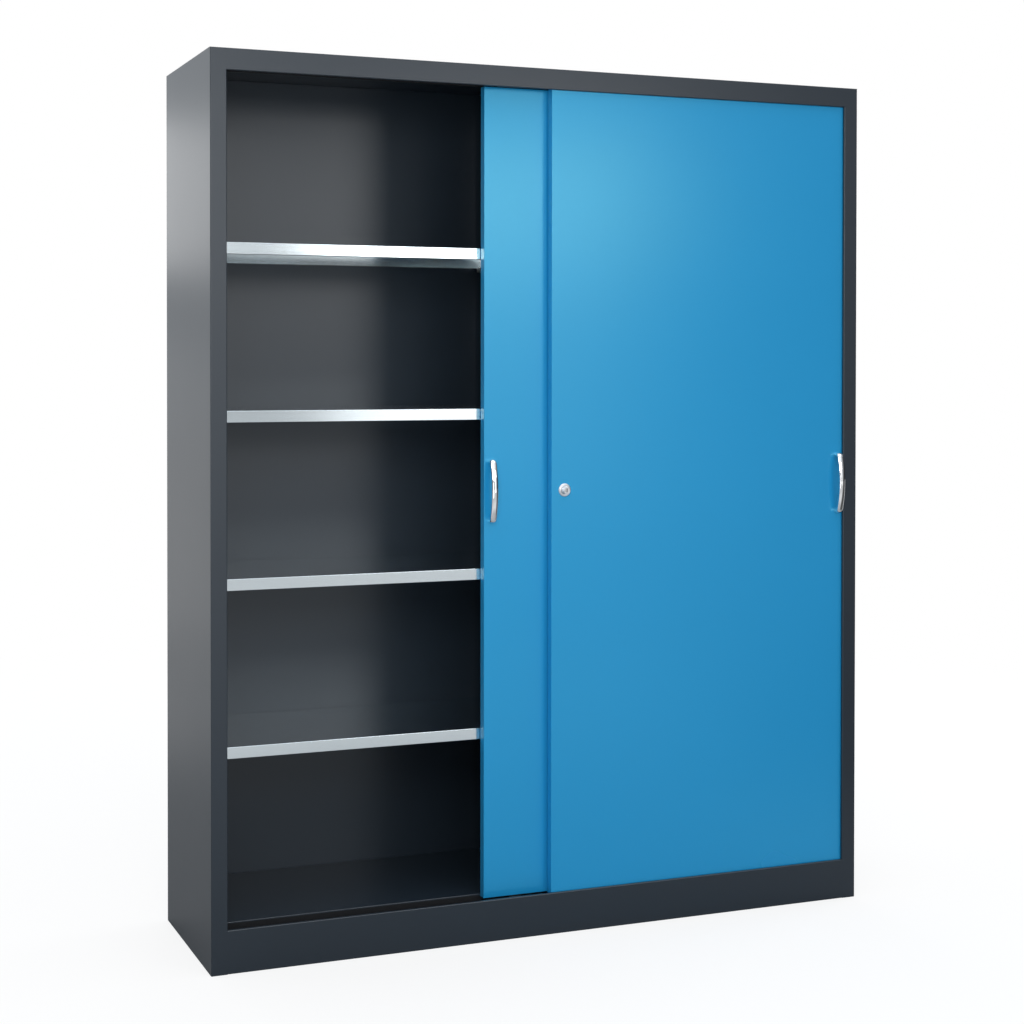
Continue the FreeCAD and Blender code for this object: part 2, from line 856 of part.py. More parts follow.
def shelf(name, left, right, number):
    """One removable shelf, open underneath, with a lip along its front and rear edges."""
    top = shelf_top(number)
    bottom = top - size("shelf_height")
    across = (left + size("shelf_side_gap"), right - size("shelf_side_gap"))
    along = (SHELF_FRONT, BACK_FACE - size("shelf_rear_gap"))
    wall = size("shelf_sheet")
    lips = (0, size("shelf_lip"))
    body = tray(name, "XY", across, along, bottom, top, False, wall, lips)
    front_edges = [(SHELF_FRONT, bottom), (SHELF_FRONT, top)]
    round_body(body, size("shelf_round"), on_corners("YZ", front_edges))
    return node(body, name)


def shelves():
    """The same number of shelves in each bay."""
    depth = size("rail_depth")
    bays = (
        ("left", -INNER + depth, -PARTITION - depth),
        ("right", PARTITION + depth, INNER - depth),
    )
    for bay, left, right in bays:
        for number in range(int(SIZES["shelf_count"])):
            shelf(f"shelf_{bay}_{number + 1}", left, right, number)


def shelf_clips():
    """A clip under each end of each shelf at every rail, its tab hooked into a slot."""
    clips = []
    half = size("clip_width") / 2
    tab_half = size("slot_width") / 2 - size("clip_tab_clearance")
    tab_height = size("slot_height") / 2 - size("clip_tab_play")
    for wall, face, facing in bay_walls():
        rail_face = face + size("rail_depth") * facing
        tongue_x = in_order(rail_face, rail_face + size("clip_reach") * facing)
        tab_x = in_order(rail_face - size("clip_tab_length") * facing, rail_face)
        for place in ("front", "rear"):
            low, high = rail_ends(place)
            middle = (low + high) / 2
            for number in range(int(SIZES["shelf_count"])):
                level = clip_level(number)
                top = level + size("clip_height") / 2
                tongue = box(tongue_x, (middle - half, middle + half), (top - size("clip_height"), top))
                tab_z = (level - tab_height, level + tab_height)
                tab = box(tab_x, (middle - tab_half, middle + tab_half), tab_z)
                clips.append(fuse(tongue, tab))
    return node(group(clips), "shelf_clips")


def in_order(first, second):
    """Two lengths, the smaller one first."""
    return (first, second) if first.value < second.value else (second, first)


# Levelling feet.


def foot_places():
    """Name, X, Y and side of each levelling foot."""
    across = INNER - size("foot_inset_x")
    front = FRONT + size("foot_inset_front")
    rear = REAR - size("plinth_flange") - size("foot_rear_gap") - size("foot_pad_radius")
    return [
        ("front_left", -across, front, -1),
        ("front_right", across, front, 1),
        ("rear_left", -across, rear, -1),
        ("rear_right", across, rear, 1),
    ]


def foot_bracket(x, y, side):
    """An angle on the side panel that holds one foot's thread."""
    level = size("foot_bracket_level")
    half = size("foot_bracket_width") / 2
    thickness = size("foot_bracket_sheet")
    path = [
        (INNER * side, level - size("foot_bracket_drop")),
        (INNER * side, level),
        ((INNER - size("foot_bracket_reach")) * side, level),
    ]
    # Drawn in the XZ plane, where the sheet lies towards the middle and below the path.
    body = folded("FootBracket", "XZ", path, side, y - half, y + half, thickness, size("foot_bracket_bend"))
    bore = size("foot_stem_radius") + size("foot_thread_clearance")
    hole = cylinder(bore, (x, y), level - thickness, level, "Z")
    return cut(body, hole)


def levelling_feet():
    """Four screws with round pads, wound up clear of the floor, and their brackets."""
    node(group([foot_bracket(x, y, side) for _, x, y, side in foot_places()]), "foot_brackets")
    low = size("foot_clearance")
    pad_top = low + size("foot_pad_height")
    nut_top = pad_top + size("foot_nut_height")
    for name, x, y, _ in foot_places():
        foot_pad = cylinder(size("foot_pad_radius"), (x, y), low, pad_top, "Z")
        stem = cylinder(size("foot_stem_radius"), (x, y), pad_top, pad_top + size("foot_stem_length"), "Z")
        nut = doc.addObject("Part::Prism", "HexNut")
        nut.Polygon = 6
        bind(nut, "Circumradius", size("foot_nut_radius"))
        bind(nut, "Height", nut_top - pad_top)
        move_to(nut, x, y, pad_top)
        node(fuse(foot_pad, stem, nut), f"levelling_foot_{name}")


# The doors.


def roller_places(left):
    """X of the middles of a door's two rollers."""
    return left + size("roller_inset"), left + DOOR_WIDTH - size("roller_inset")


def roller_slot(x, middle):
    """The corners of the slot through which a roller reaches below its door, seen from above."""
    half = ROLLER_OUTSIDE + size("roller_slot_end_gap")
    half_width = size("roller_width") / 2 + size("roller_slot_side_gap")
    return (x - half, x + half), (middle - half_width, middle + half_width)


def screw_levels():
    """Heights of the two screws that hold a handle."""
    reach = (size("handle_length") - size("handle_leg")) / 2
    return GRIP_MIDDLE - reach, GRIP_MIDDLE + reach


def door_panel(name, left, face, handle_x, lock_x=None):
    """One door: a tray of sheet steel with its open side to the rear."""
    wall = size("door_sheet")
    across = (left, left + DOOR_WIDTH)
    upright = (DOOR_BOTTOM, DOOR_TOP)
    rim = (size("door_hem"), size("door_hem"))
    body = tray(name, "XZ", across, upright, face, face + DOOR, True, wall, rim)
    round_body(body, size("door_round"), lambda edge: lies_in_face(edge, face))
    middle = face + DOOR / 2

    def roller_slots(sketch):
        for x in roller_places(left):
            draw_polygon(sketch, rectangle(*roller_slot(x, middle)))

    def guide_holes(sketch):
        for x in guide_places(left):
            draw_circle(sketch, (x, middle), size("guide_stem_radius") + size("screw_clearance"))

    def face_holes(sketch):
        for z in screw_levels():
            draw_circle(sketch, (handle_x, z), size("screw_radius") + size("screw_clearance"))
        if lock_x is not None:
            draw_circle(sketch, (lock_x, GRIP_MIDDLE), size("barrel_radius") + size("lock_clearance"))

    pocket(body, "XY", roller_slots, DOOR_BOTTOM, DOOR_BOTTOM + wall)
    pocket(body, "XY", guide_holes, DOOR_TOP - wall, DOOR_TOP)
    pocket(body, "XZ", face_holes, face, face + wall)
    return node(body, name)


def lies_in_face(edge, face):
    """Whether both ends of an edge lie in the front face of a door."""
    return all(abs(vertex.Point.y - face.value) < 1e-4 for vertex in edge.Vertexes)


def stiffener(name, left, face):
    """A top-hat channel behind the middle of a door."""
    middle = left + DOOR_WIDTH / 2
    half = size("stiffener_width") / 2
    near = face + size("door_sheet")
    far = near + size("stiffener_depth")
    flange = size("stiffener_flange")
    path = [
        (middle - half - flange, near),
        (middle - half, near),
        (middle - half, far),
        (middle + half, far),
        (middle + half, near),
        (middle + half + flange, near),
    ]
    low = DOOR_BOTTOM + size("stiffener_end")
    high = DOOR_TOP - size("stiffener_end")
    return node(folded(name, "XY", path, 1, low, high, size("door_sheet"), size("door_bend")), name)


def handle(name, x, face):
    """An arched grip on two short legs.

    The bow is a slice of a round bar whose radius follows from the bow's length and its rise.
    """
    half_length = size("handle_length") / 2
    rise = size("handle_rise")
    half = size("handle_width") / 2
    front = face - size("handle_projection")
    radius = (half_length * half_length + rise * rise) / (rise * 2)
    across = (x - half, x + half)
    # The block reaches further forward than the bow, so that only the disc shapes the arch.
    whole = box(across, (front - rise, face), (GRIP_MIDDLE - half_length, GRIP_MIDDLE + half_length))
    outer = bow_disc(radius, across, front + radius)
    inner = bow_disc(radius - size("handle_thickness"), across, front + radius)
    gap = half_length - size("handle_leg")
    finger_room = box(across, (front, face), (GRIP_MIDDLE - gap, GRIP_MIDDLE + gap))
    bow = cut(common(whole, outer), common(finger_room, inner))
    grip = round_edges(bow, size("handle_round"), lambda edge: lies_on_arch(edge, across))
    bore = size("screw_radius") + size("screw_clearance")
    depth = size("screw_length") - size("door_sheet")
    holes = [cylinder(bore, (x, z), face - depth, face) for z in screw_levels()]
    return node(cut(grip, *holes), name)


def bow_disc(radius, across, middle):
    """A disc on an axis along X, as wide as the handle."""
    item = doc.addObject("Part::Cylinder", "Disc")
    bind(item, "Radius", radius)
    bind(item, "Height", across[1] - across[0])
    item.Placement.Rotation = FreeCAD.Rotation(FreeCAD.Vector(0, 1, 0), 90)
    move_to(item, across[0], middle, GRIP_MIDDLE)
    return item


def lies_on_arch(edge, across):
    """Whether an edge runs along a side of the outer arch; only those edges outrun the grip."""
    if edge.Length < SIZES["handle_length"]:
        return False
    ends = [vertex.Point.x for vertex in edge.Vertexes]
    return any(all(abs(end - side.value) < 1e-4 for end in ends) for side in across)


def handle_screws(name, x, face):
    """Two screws from inside the door into the handle's legs."""
    screws = []
    inside = face + size("door_sheet")
    for z in screw_levels():
        head_end = inside + size("screw_head_height")
        head = cylinder(size("screw_head_radius"), (x, z), inside, head_end)
        tip = inside - size("screw_length") + size("screw_clearance")
        shank = cylinder(size("screw_radius"), (x, z), tip, inside)
        screws.append(fuse(head, shank))
    return node(group(screws), name)


def door_guides(name, left, face):
    """Two sliding blocks on top of a door, each with a stem through the door's top edge."""
    guides = []
    margin = size("guide_clearance")
    half = size("guide_length") / 2
    for x in guide_places(left):
        top = DOOR_TOP + size("guide_height")
        block = box((x - half, x + half), (face + margin, face + DOOR - margin), (DOOR_TOP, top))
        corners = [(x - half, top), (x + half, top)]
        block = round_edges(block, size("guide_chamfer"), on_corners("XZ", corners))
        stem_bottom = DOOR_TOP - size("guide_stem_length")
        stem = cylinder(size("guide_stem_radius"), (x, face + DOOR / 2), stem_bottom, DOOR_TOP, "Z")
        guides.append(fuse(block, stem))
    return node(group(guides), name)


def roller_brackets(name, left, face):
    """Two upright channels on the door's bottom edge, slotted for the rollers."""
    middle = face + DOOR / 2
    low = DOOR_BOTTOM + size("door_sheet")
    high = low + size("bracket_height")
    near = middle - BRACKET_HALF
    far = middle + BRACKET_HALF
    thickness = size("bracket_sheet")
    brackets = []
    for x in roller_places(left):
        path = [(near, high), (near, low), (far, low), (far, high)]
        ends = (x - size("bracket_length") / 2, x + size("bracket_length") / 2)
        body = folded("Bracket", "YZ", path, 1, *ends, thickness, size("bracket_bend"))
        slot = box(*roller_slot(x, middle), (low, low + thickness))
        bore = cylinder(AXLE_HOLE, (x, ROLLER_LEVEL), near, far)
        brackets.append(cut(body, slot, bore))
    return node(group(brackets), name)


def roller_axles(name, left, face):
    """Two plain pins through the brackets."""
    middle = face + DOOR / 2
    half = BRACKET_HALF + size("axle_end")
    pins = []
    for x in roller_places(left):
        pins.append(cylinder(size("axle_radius"), (x, ROLLER_LEVEL), middle - half, middle + half))
    return node(group(pins), name)


def roller(name, x, face):
    """A grooved wheel that rides on its rib."""
    half = size("roller_width") / 2
    groove = size("rib_width") / 2 + size("groove_clearance")
    mouth = groove + size("groove_flare")
    inner = size("axle_radius") + size("axle_clearance")
    ride = size("roller_radius")
    points = [
        (inner, -half),
        (ROLLER_OUTSIDE, -half),
        (ROLLER_OUTSIDE, -mouth),
        (ride, -groove),
        (ride, groove),
        (ROLLER_OUTSIDE, mouth),
        (ROLLER_OUTSIDE, half),
        (inner, half),
    ]
    return node(revolved(name, points, x, face + DOOR / 2, ROLLER_LEVEL), name)


def door(name, left, face, handle_x, lock_x=None):
    """All pieces of one door, the lock left out."""
    door_panel(f"{name}_panel", left, face, handle_x, lock_x)
    stiffener(f"{name}_stiffener", left, face)
    handle(f"{name}_handle", handle_x, face)
    handle_screws(f"{name}_handle_screws", handle_x, face)
    door_guides(f"{name}_guides", left, face)
    roller_brackets(f"{name}_roller_brackets", left, face)
    roller_axles(f"{name}_roller_axles", left, face)
    for place, x in zip(("left", "right"), roller_places(left)):
        roller(f"{name}_roller_{place}", x, face)


# The lock on the front door.


def lock_housing():
    """The fixed barrel through the door, with its rosette in front and an end wall behind."""
    chamfer = size("rosette_chamfer")
    bore = size("cylinder_radius") + size("lock_clearance")
    pin_hole = size("bolt_radius") + size("bolt_clearance")
    end_wall = BARREL_END - size("barrel_end_wall")
    points = [
        (bore, ROSETTE_FACE),
        (size("rosette_radius") - chamfer, ROSETTE_FACE),
        (size("rosette_radius"), ROSETTE_FACE + chamfer),
        (size("rosette_radius"), FRONT_DOOR),
        (size("barrel_radius"), FRONT_DOOR),
        (size("barrel_radius"), BARREL_END),
        (pin_hole, BARREL_END),
        (pin_hole, end_wall),
        (bore, end_wall),
    ]
    return node(revolved("LockHousing", points, LOCK_X, 0, GRIP_MIDDLE), "lock_housing")


def lock_nut():
    """The hexagon nut that clamps the housing to the door from inside."""
    inside = FRONT_DOOR + size("door_sheet")
    item = doc.addObject("Part::Prism", "Hexagon")
    item.Polygon = 6
    bind(item, "Circumradius", size("nut_radius"))
    bind(item, "Height", size("nut_height"))
    item.Placement.Rotation = FreeCAD.Rotation(FreeCAD.Vector(1, 0, 0), -90)
    move_to(item, LOCK_X, inside, GRIP_MIDDLE)
    bore = size("barrel_radius") + size("lock_clearance")
    hole = cylinder(bore, (LOCK_X, GRIP_MIDDLE), inside, inside + size("nut_height"))
    return node(cut(item, hole), "lock_nut")


def lock_cylinder():
    """The round push cylinder, bored for the core that the key turns."""
    chamfer = size("cylinder_chamfer")
    radius = size("cylinder_radius")
    bore = size("core_radius") + size("lock_clearance")
    bore_end = CORE_FACE + size("core_length") + size("lock_clearance")
    points = [
        (bore, CYLINDER_FACE),
        (radius - chamfer, CYLINDER_FACE),
        (radius, CYLINDER_FACE + chamfer),
        (radius, CYLINDER_END),
        (0, CYLINDER_END),
        (0, bore_end),
        (bore, bore_end),
    ]
    return node(revolved("LockCylinder", points, LOCK_X, 0, GRIP_MIDDLE), "lock_cylinder")


def lock_core():
    """The core in the middle of the cylinder, with its upright key slot."""
    bar = cylinder(size("core_radius"), (LOCK_X, GRIP_MIDDLE), CORE_FACE, CORE_FACE + size("core_length"))
    half = size("key_slot_width") / 2
    half_height = size("key_slot_height") / 2
    slot = box(
        (LOCK_X - half, LOCK_X + half),
        (CORE_FACE, CORE_FACE + size("key_slot_depth")),
        (GRIP_MIDDLE - half_height, GRIP_MIDDLE + half_height),
    )
    return node(cut(bar, slot), "lock_core")


def lock_bolt():
    """The round bolt on the cylinder's rear end."""
    tip = FRONT_DOOR + DOOR - size("bolt_recess")
    chamfer = size("bolt_chamfer")
    radius = size("bolt_radius")
    points = [
        (0, CYLINDER_END),
        (radius, CYLINDER_END),
        (radius, tip - chamfer),
        (radius - chamfer, tip),
        (0, tip),
    ]
    return node(revolved("LockBolt", points, LOCK_X, 0, GRIP_MIDDLE), "lock_bolt")


def lock_spring():
    """The coil spring round the bolt that pushes the cylinder out again."""
    wire = SIZES["spring_wire"]
    margin = wire / 2 + SIZES["spring_end_gap"]
    low = CYLINDER_END.value + margin
    high = BARREL_END.value - SIZES["barrel_end_wall"] - margin
    radius = SIZES["spring_radius"]
    # The wire's middle line is a smooth curve through evenly spaced points of a helix.
    count = round(SIZES["spring_turns"] * SPRING_POINTS)
    points = []
    for number in range(count + 1):
        angle = 2 * math.pi * number / SPRING_POINTS
        rise = (high - low) * number / count
        points.append(FreeCAD.Vector(radius * math.cos(angle), radius * math.sin(angle), rise))
    line = Part.BSplineCurve()
    line.interpolate(points)
    heading = line.tangent(line.FirstParameter)[0]
    ring = Part.Wire(Part.makeCircle(wire / 2, points[0], heading))
    coil = Part.Wire(line.toShape()).makePipeShell([ring], True, False)
    item = doc.addObject("Part::Feature", "Spring")
    item.Shape = coil
    upright = FreeCAD.Rotation(FreeCAD.Vector(1, 0, 0), -90)
    item.Placement = FreeCAD.Placement(FreeCAD.Vector(LOCK_X.value, low, GRIP_MIDDLE.value), upright)
    return node(item, "lock_spring")


def strike_plate():
    """The angle on the rear door's right edge; its slot takes the bolt when both doors are shut."""
    edge = REAR_DOOR_LEFT + DOOR_WIDTH
    near = (FRONT_DOOR + DOOR + REAR_DOOR - size("strike_sheet")) / 2
    # With both doors shut the slot stands behind the lock.
    x = LOCK_X + TRAVEL
    reach = x + size("strike_end")
    half = size("strike_height") / 2
    path = [(reach, near), (edge, near), (edge, near + size("strike_leg"))]
    thickness = size("strike_sheet")
    levels = (GRIP_MIDDLE - half, GRIP_MIDDLE + half)
    body = folded("StrikePlate", "XY", path, -1, *levels, thickness, size("strike_bend"))
    slot_half = size("strike_slot") / 2

    def slot(sketch):
        upright = (GRIP_MIDDLE - slot_half, GRIP_MIDDLE + slot_half)
        draw_polygon(sketch, rectangle((x - slot_half, x + slot_half), upright))

    pocket(body, "XZ", slot, near, near + thickness)
    return node(body, "strike_plate")


def cabinet():
    """Build every node."""
    side_panel("left_side_panel", -1)
    side_panel("right_side_panel", 1)
    top_panel()
    front_plinth()
    rear_plinth()
    floor_panel()
    back_panels()
    back_rivets()
    centre_partition()
    top_track()
    bottom_track()
    track_stops()
    shelf_rails()
    shelves()
    shelf_clips()
    levelling_feet()
    door("rear_door", REAR_DOOR_LEFT, REAR_DOOR, REAR_DOOR_LEFT + size("handle_inset"))
    front_handle = FRONT_DOOR_LEFT + DOOR_WIDTH - size("handle_inset")
    door("front_door", FRONT_DOOR_LEFT, FRONT_DOOR, front_handle, LOCK_X)
    strike_plate()
    lock_housing()
    lock_nut()
    lock_cylinder()
    lock_core()
    lock_bolt()
    lock_spring()
    doc.recompute()


def check():
    """Stop if any object of the document failed or any node isn't a sound shape."""
    for item in doc.Objects:
        if {"Invalid", "Error"} & set(item.State):
            raise ValueError(f"{item.Label} failed: {item.State}")
    for item in nodes:
        if item.Shape.isNull() or not item.Shape.isValid() or not item.Shape.Solids:
            raise ValueError(f"{item.Label} is not a sound solid")


def export():
    """Write each node to its own file."""
    os.makedirs("parts", exist_ok=True)
    for item in nodes:
        item.Shape.exportStep(f"parts/{item.Label}.step")
        print(item.Label, len(item.Shape.Solids), round(item.Shape.Volume / 1000, 3), "cm3")
    print(len(nodes), "nodes")


cabinet()
check()
export()
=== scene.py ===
"""The looks of a steel cabinet with two sliding doors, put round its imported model.

Lengths are in metres. +X runs to the right as seen from the front, the front faces -Y and +Z points up.
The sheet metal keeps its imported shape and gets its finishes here. The handles, the lock, the rollers and
their pins, the screws and the levelling feet are made anew as smooth surfaces in the places of their nodes.
"""

import json
import math

import bmesh
import bpy
import numpy as np
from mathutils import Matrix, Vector


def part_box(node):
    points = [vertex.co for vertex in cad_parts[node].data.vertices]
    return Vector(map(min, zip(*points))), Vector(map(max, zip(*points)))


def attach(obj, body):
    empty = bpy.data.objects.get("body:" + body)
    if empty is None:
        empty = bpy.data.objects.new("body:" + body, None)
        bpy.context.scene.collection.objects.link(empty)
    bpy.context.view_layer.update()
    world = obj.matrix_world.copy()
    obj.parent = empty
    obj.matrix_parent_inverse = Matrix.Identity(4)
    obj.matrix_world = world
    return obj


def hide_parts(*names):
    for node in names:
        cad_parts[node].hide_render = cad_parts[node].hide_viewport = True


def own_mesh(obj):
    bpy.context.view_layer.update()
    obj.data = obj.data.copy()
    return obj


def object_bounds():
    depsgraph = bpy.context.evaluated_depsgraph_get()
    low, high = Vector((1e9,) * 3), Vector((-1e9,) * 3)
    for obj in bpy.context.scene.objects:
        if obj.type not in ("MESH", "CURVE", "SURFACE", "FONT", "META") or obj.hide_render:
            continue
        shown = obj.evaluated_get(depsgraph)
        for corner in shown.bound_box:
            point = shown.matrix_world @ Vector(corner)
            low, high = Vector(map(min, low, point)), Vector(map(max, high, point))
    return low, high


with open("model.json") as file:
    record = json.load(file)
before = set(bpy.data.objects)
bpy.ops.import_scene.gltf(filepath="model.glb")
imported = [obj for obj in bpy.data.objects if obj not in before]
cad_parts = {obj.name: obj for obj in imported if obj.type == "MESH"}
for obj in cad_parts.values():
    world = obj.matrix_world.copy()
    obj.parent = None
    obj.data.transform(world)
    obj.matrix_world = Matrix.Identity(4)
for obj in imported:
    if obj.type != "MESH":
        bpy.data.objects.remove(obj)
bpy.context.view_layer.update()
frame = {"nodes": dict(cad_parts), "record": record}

MM = 0.001

# The camera stands in front of the cabinet's left half and looks a little to the right.
CAMERA_PLACE = (-1.71396, -3.71873, 1.28206)
CAMERA_TURN = (math.radians(90) - 0.0136, 0, -0.3532)
CAMERA_LENS = 60.97
CAMERA_SHIFT = (0.125, -0.119)

# Each lamp: where it stands, what it points at, its width and height, and its power in watts.
LAMPS = {
    "key": ((1.42, -3.8, 2.06), (0.0, -0.1, 1.4), 1.35, 0.5, 12),
    "low_key": ((1.45, -3.9, 1.3), (0.0, -0.1, 1.2), 1.3, 1.3, 5),
    "front": ((-0.6, -3.8, 2.2), (0.0, -0.1, 1.4), 1.3, 1.3, 14.9),
    "near_front": ((-1.5, -2.5, 1.9), (0.0, -0.1, 1.2), 0.9, 0.9, 15.6),
    "low_front": ((-1.0, -2.6, 0.9), (-0.5, 0.2, 1.1), 0.8, 0.8, 4.8),
    "left": ((-4.2, 1.5, 2.2), (-0.8, 0.0, 1.3), 1.6, 1.6, 8.2),
    "rear_left": ((-1.27, 1.93, 1.85), (-0.8, 0.0, 1.5), 0.8, 0.5, 1.6),
    "low_rear_left": ((-1.8, 3.2, 0.8), (-0.8, 0.0, 0.8), 1.2, 1.2, 1.6),
    "right": ((4.4, 1.2, 2.4), (0.8, 0.0, 1.0), 1.6, 1.6, 40),
    "rear": ((0.6, 5.0, 2.8), (0.0, 0.2, 1.0), 2.0, 2.0, 40),
}

# The world's light: the sky's tone and its strength overhead, and the walls that only shiny surfaces see.
# Each wall has the direction of its middle, its strength there and how fast it fades away from it.
SKY_TONE = (0.9, 0.95, 1.0, 1.0)
SKY = 1.614
WALLS = {
    "front": ((0.1, -0.86, 0.5), 0.57, 4.0),
    "upper front": ((0.1, -0.7, 0.7), 0.784, 8.0),
    "rear": ((0.0, 1.0, 0.0), 0.55, 2.0),
    "upper rear left": ((-0.25, 0.9, 0.35), 0.76, 20.0),
    "left": ((-1.0, 0.0, 0.0), 0.5, 2.0),
}

# The floor. Reaches are distances from the origin between which something sets in.
FLOOR_MARGIN = 30.0
FLOOR_GREY = 0.4
# The camera sees the nearby floor as mostly plain white, and the far floor as nothing else.
WHITE_NEARBY = 0.8
ALL_WHITE_REACH = (1.6, 4.0)
# Only shiny surfaces see its glow, and a dimmer strip of it in front on the right.
GLOW = 0.28
GLOW_REACH = (1.9, 2.6)
DIM_DIRECTION = (0.84, -0.54, 0.0)
DIM_LEAN = (0.89, 0.966)
DIM_REACH = (1.3, 2.4)
DIM_LEAST = 0.12


def make_camera():
    """The camera, level but for a small tilt, with its view shifted to frame the cabinet."""
    data = bpy.data.cameras.new("camera")
    data.lens = CAMERA_LENS
    data.sensor_width = 36
    data.shift_x, data.shift_y = CAMERA_SHIFT
    camera = bpy.data.objects.new("camera", data)
    camera.location = CAMERA_PLACE
    camera.rotation_euler = CAMERA_TURN
    bpy.context.scene.collection.objects.link(camera)
    bpy.context.scene.camera = camera


def make_lamp(name, place, target, width, height, power):
    """A soft rectangular lamp that the camera itself doesn't see."""
    data = bpy.data.lights.new(name, "AREA")
    data.shape = "RECTANGLE"
    data.size = width
    data.size_y = height
    data.energy = power
    lamp = bpy.data.objects.new(name, data)
    lamp.location = place
    lamp.rotation_euler = (Vector(target) - Vector(place)).to_track_quat("-Z", "Y").to_euler()
    lamp.visible_camera = False
    bpy.context.scene.collection.objects.link(lamp)


# Node helpers.


def new_group(name, inputs, outputs):
    """An empty shader node group. Inputs are {name: default number or vector}, outputs {name: kind}."""
    group = bpy.data.node_groups.new(name, "ShaderNodeTree")
    for label, value in inputs.items():
        kind = "NodeSocketVector" if isinstance(value, tuple) else "NodeSocketFloat"
        socket = group.interface.new_socket(label, in_out="INPUT", socket_type=kind)
        socket.default_value = value
    for label, kind in outputs.items():
        group.interface.new_socket(label, in_out="OUTPUT", socket_type="NodeSocket" + kind)
    given = group.nodes.new("NodeGroupInput").outputs
    out = group.nodes.new("NodeGroupOutput").inputs
    return group, given, out


def add(tree, kind, settings=None, **values):
    """A new node with its settings, and its inputs set to numbers or joined to other nodes' outputs."""
    node = tree.nodes.new("ShaderNode" + kind)
    for name, value in (settings or {}).items():
        setattr(node, name, value)
    for name, value in values.items():
        feed(tree, node.inputs[name.replace("_", " ")], value)
    return node


def feed(tree, socket, value):
    """Join an output to a socket, or set the socket to a plain value."""
    if isinstance(value, bpy.types.NodeSocket):
        tree.links.new(value, socket)
    else:
        socket.default_value = value


def calculate(tree, operation, first, second=0.0):
    """The result of one sum on numbers or outputs."""
    node = add(tree, "Math", {"operation": operation})
    feed(tree, node.inputs[0], first)
    feed(tree, node.inputs[1], second)
    return node.outputs["Value"]


def calculate_vector(tree, operation, first, second=None):
    """The result of one sum on vectors: a number for a length or a dot product, and a vector for the rest."""
    node = add(tree, "VectorMath", {"operation": operation})
    feed(tree, node.inputs[0], first)
    if second is not None:
        feed(tree, node.inputs[1], second)
    return node.outputs["Value" if operation in ("LENGTH", "DOT_PRODUCT") else "Vector"]


def ramp(tree, value, reach, low=0.0, high=1.0):
    """A number that goes from low to high as the value goes from the reach's start to its end."""
    start, end = reach
    node = add(tree, "MapRange", None, Value=value, From_Min=start, From_Max=end, To_Min=low, To_Max=high)
    return node.outputs["Result"]


def between(tree, mask, low, high):
    """A number that goes from low to high as the mask goes from 0 to 1."""
    return ramp(tree, mask, (0.0, 1.0), low, high)


def mixed(tree, mask, first, second):
    """A colour that goes from the first to the second as the mask goes from 0 to 1."""
    node = add(tree, "Mix", {"data_type": "RGBA"})
    feed(tree, node.inputs["Factor"], mask)
    feed(tree, node.inputs[6], first)
    feed(tree, node.inputs[7], second)
    return node.outputs[2]


def object_place(tree):
    """Where a point lies in the cabinet's own frame."""
    return add(tree, "TexCoord").outputs["Object"]


# Effects that several finishes share.


def coat_skin():
    """The skin of a baked powder coat: low rounded waves with a fine grain on top."""
    inputs = {"Waves": 260.0, "Grain": 1500.0, "Grain share": 0.3}
    group, given, out = new_group("coat skin", inputs, {"Height": "Float", "Mask": "Float"})
    place = object_place(group)
    waves = add(group, "TexNoise", Vector=place, Scale=given["Waves"], Detail=1.0)
    grain = add(group, "TexNoise", Vector=place, Scale=given["Grain"], Detail=2.0)
    share = calculate(group, "MULTIPLY", grain.outputs["Fac"], given["Grain share"])
    feed(group, out["Height"], calculate(group, "ADD", waves.outputs["Fac"], share))
    feed(group, out["Mask"], grain.outputs["Fac"])
    return group


def soft_patches():
    """Broad cloudy patches, for a coat or a plating that isn't quite even and for what hands leave on it."""
    group, given, out = new_group("soft patches", {"Patches": 3.0, "Contrast": 1.5}, {"Mask": "Float"})
    noise = add(group, "TexNoise", Vector=object_place(group), Scale=given["Patches"], Detail=3.0)
    centred = calculate(group, "SUBTRACT", noise.outputs["Fac"], 0.5)
    spread = calculate(group, "MULTIPLY", centred, given["Contrast"])
    shifted = calculate(group, "ADD", spread, 0.5)
    feed(group, out["Mask"], add(group, "Clamp", Value=shifted).outputs["Result"])
    return group


def drawn_lines():
    """Fine lines in one direction, as rolling or brushing leaves them. Stretch gives the lines per metre."""
    group, given, out = new_group(
        "drawn lines", {"Stretch": (6.0, 900.0, 900.0)}, {"Height": "Float", "Mask": "Float"}
    )
    scaled = calculate_vector(group, "MULTIPLY", object_place(group), given["Stretch"])
    noise = add(group, "TexNoise", Vector=scaled, Scale=1.0, Detail=3.0)
    feed(group, out["Height"], noise.outputs["Fac"])
    feed(group, out["Mask"], between(group, noise.outputs["Fac"], -0.5, 1.5))
    return group


FLAKE_WARP = 0.01


def zinc_flakes():
    """The crystal flakes of a hot-dipped zinc layer, each with a tone of its own."""
    group, given, out = new_group("zinc flakes", {"Flakes": 130.0}, {"Tone": "Float", "Height": "Float"})
    place = object_place(group)
    warp = add(group, "TexNoise", Vector=place, Scale=given["Flakes"])
    bent = add(group, "MixRGB", Fac=FLAKE_WARP, Color1=place, Color2=warp.outputs["Color"])
    cells = add(group, "TexVoronoi", Vector=bent.outputs["Color"], Scale=given["Flakes"])
    tone = add(group, "SeparateColor", Color=cells.outputs["Color"]).outputs["Red"]
    feed(group, out["Tone"], tone)
    feed(group, out["Height"], cells.outputs["Distance"])
    return group


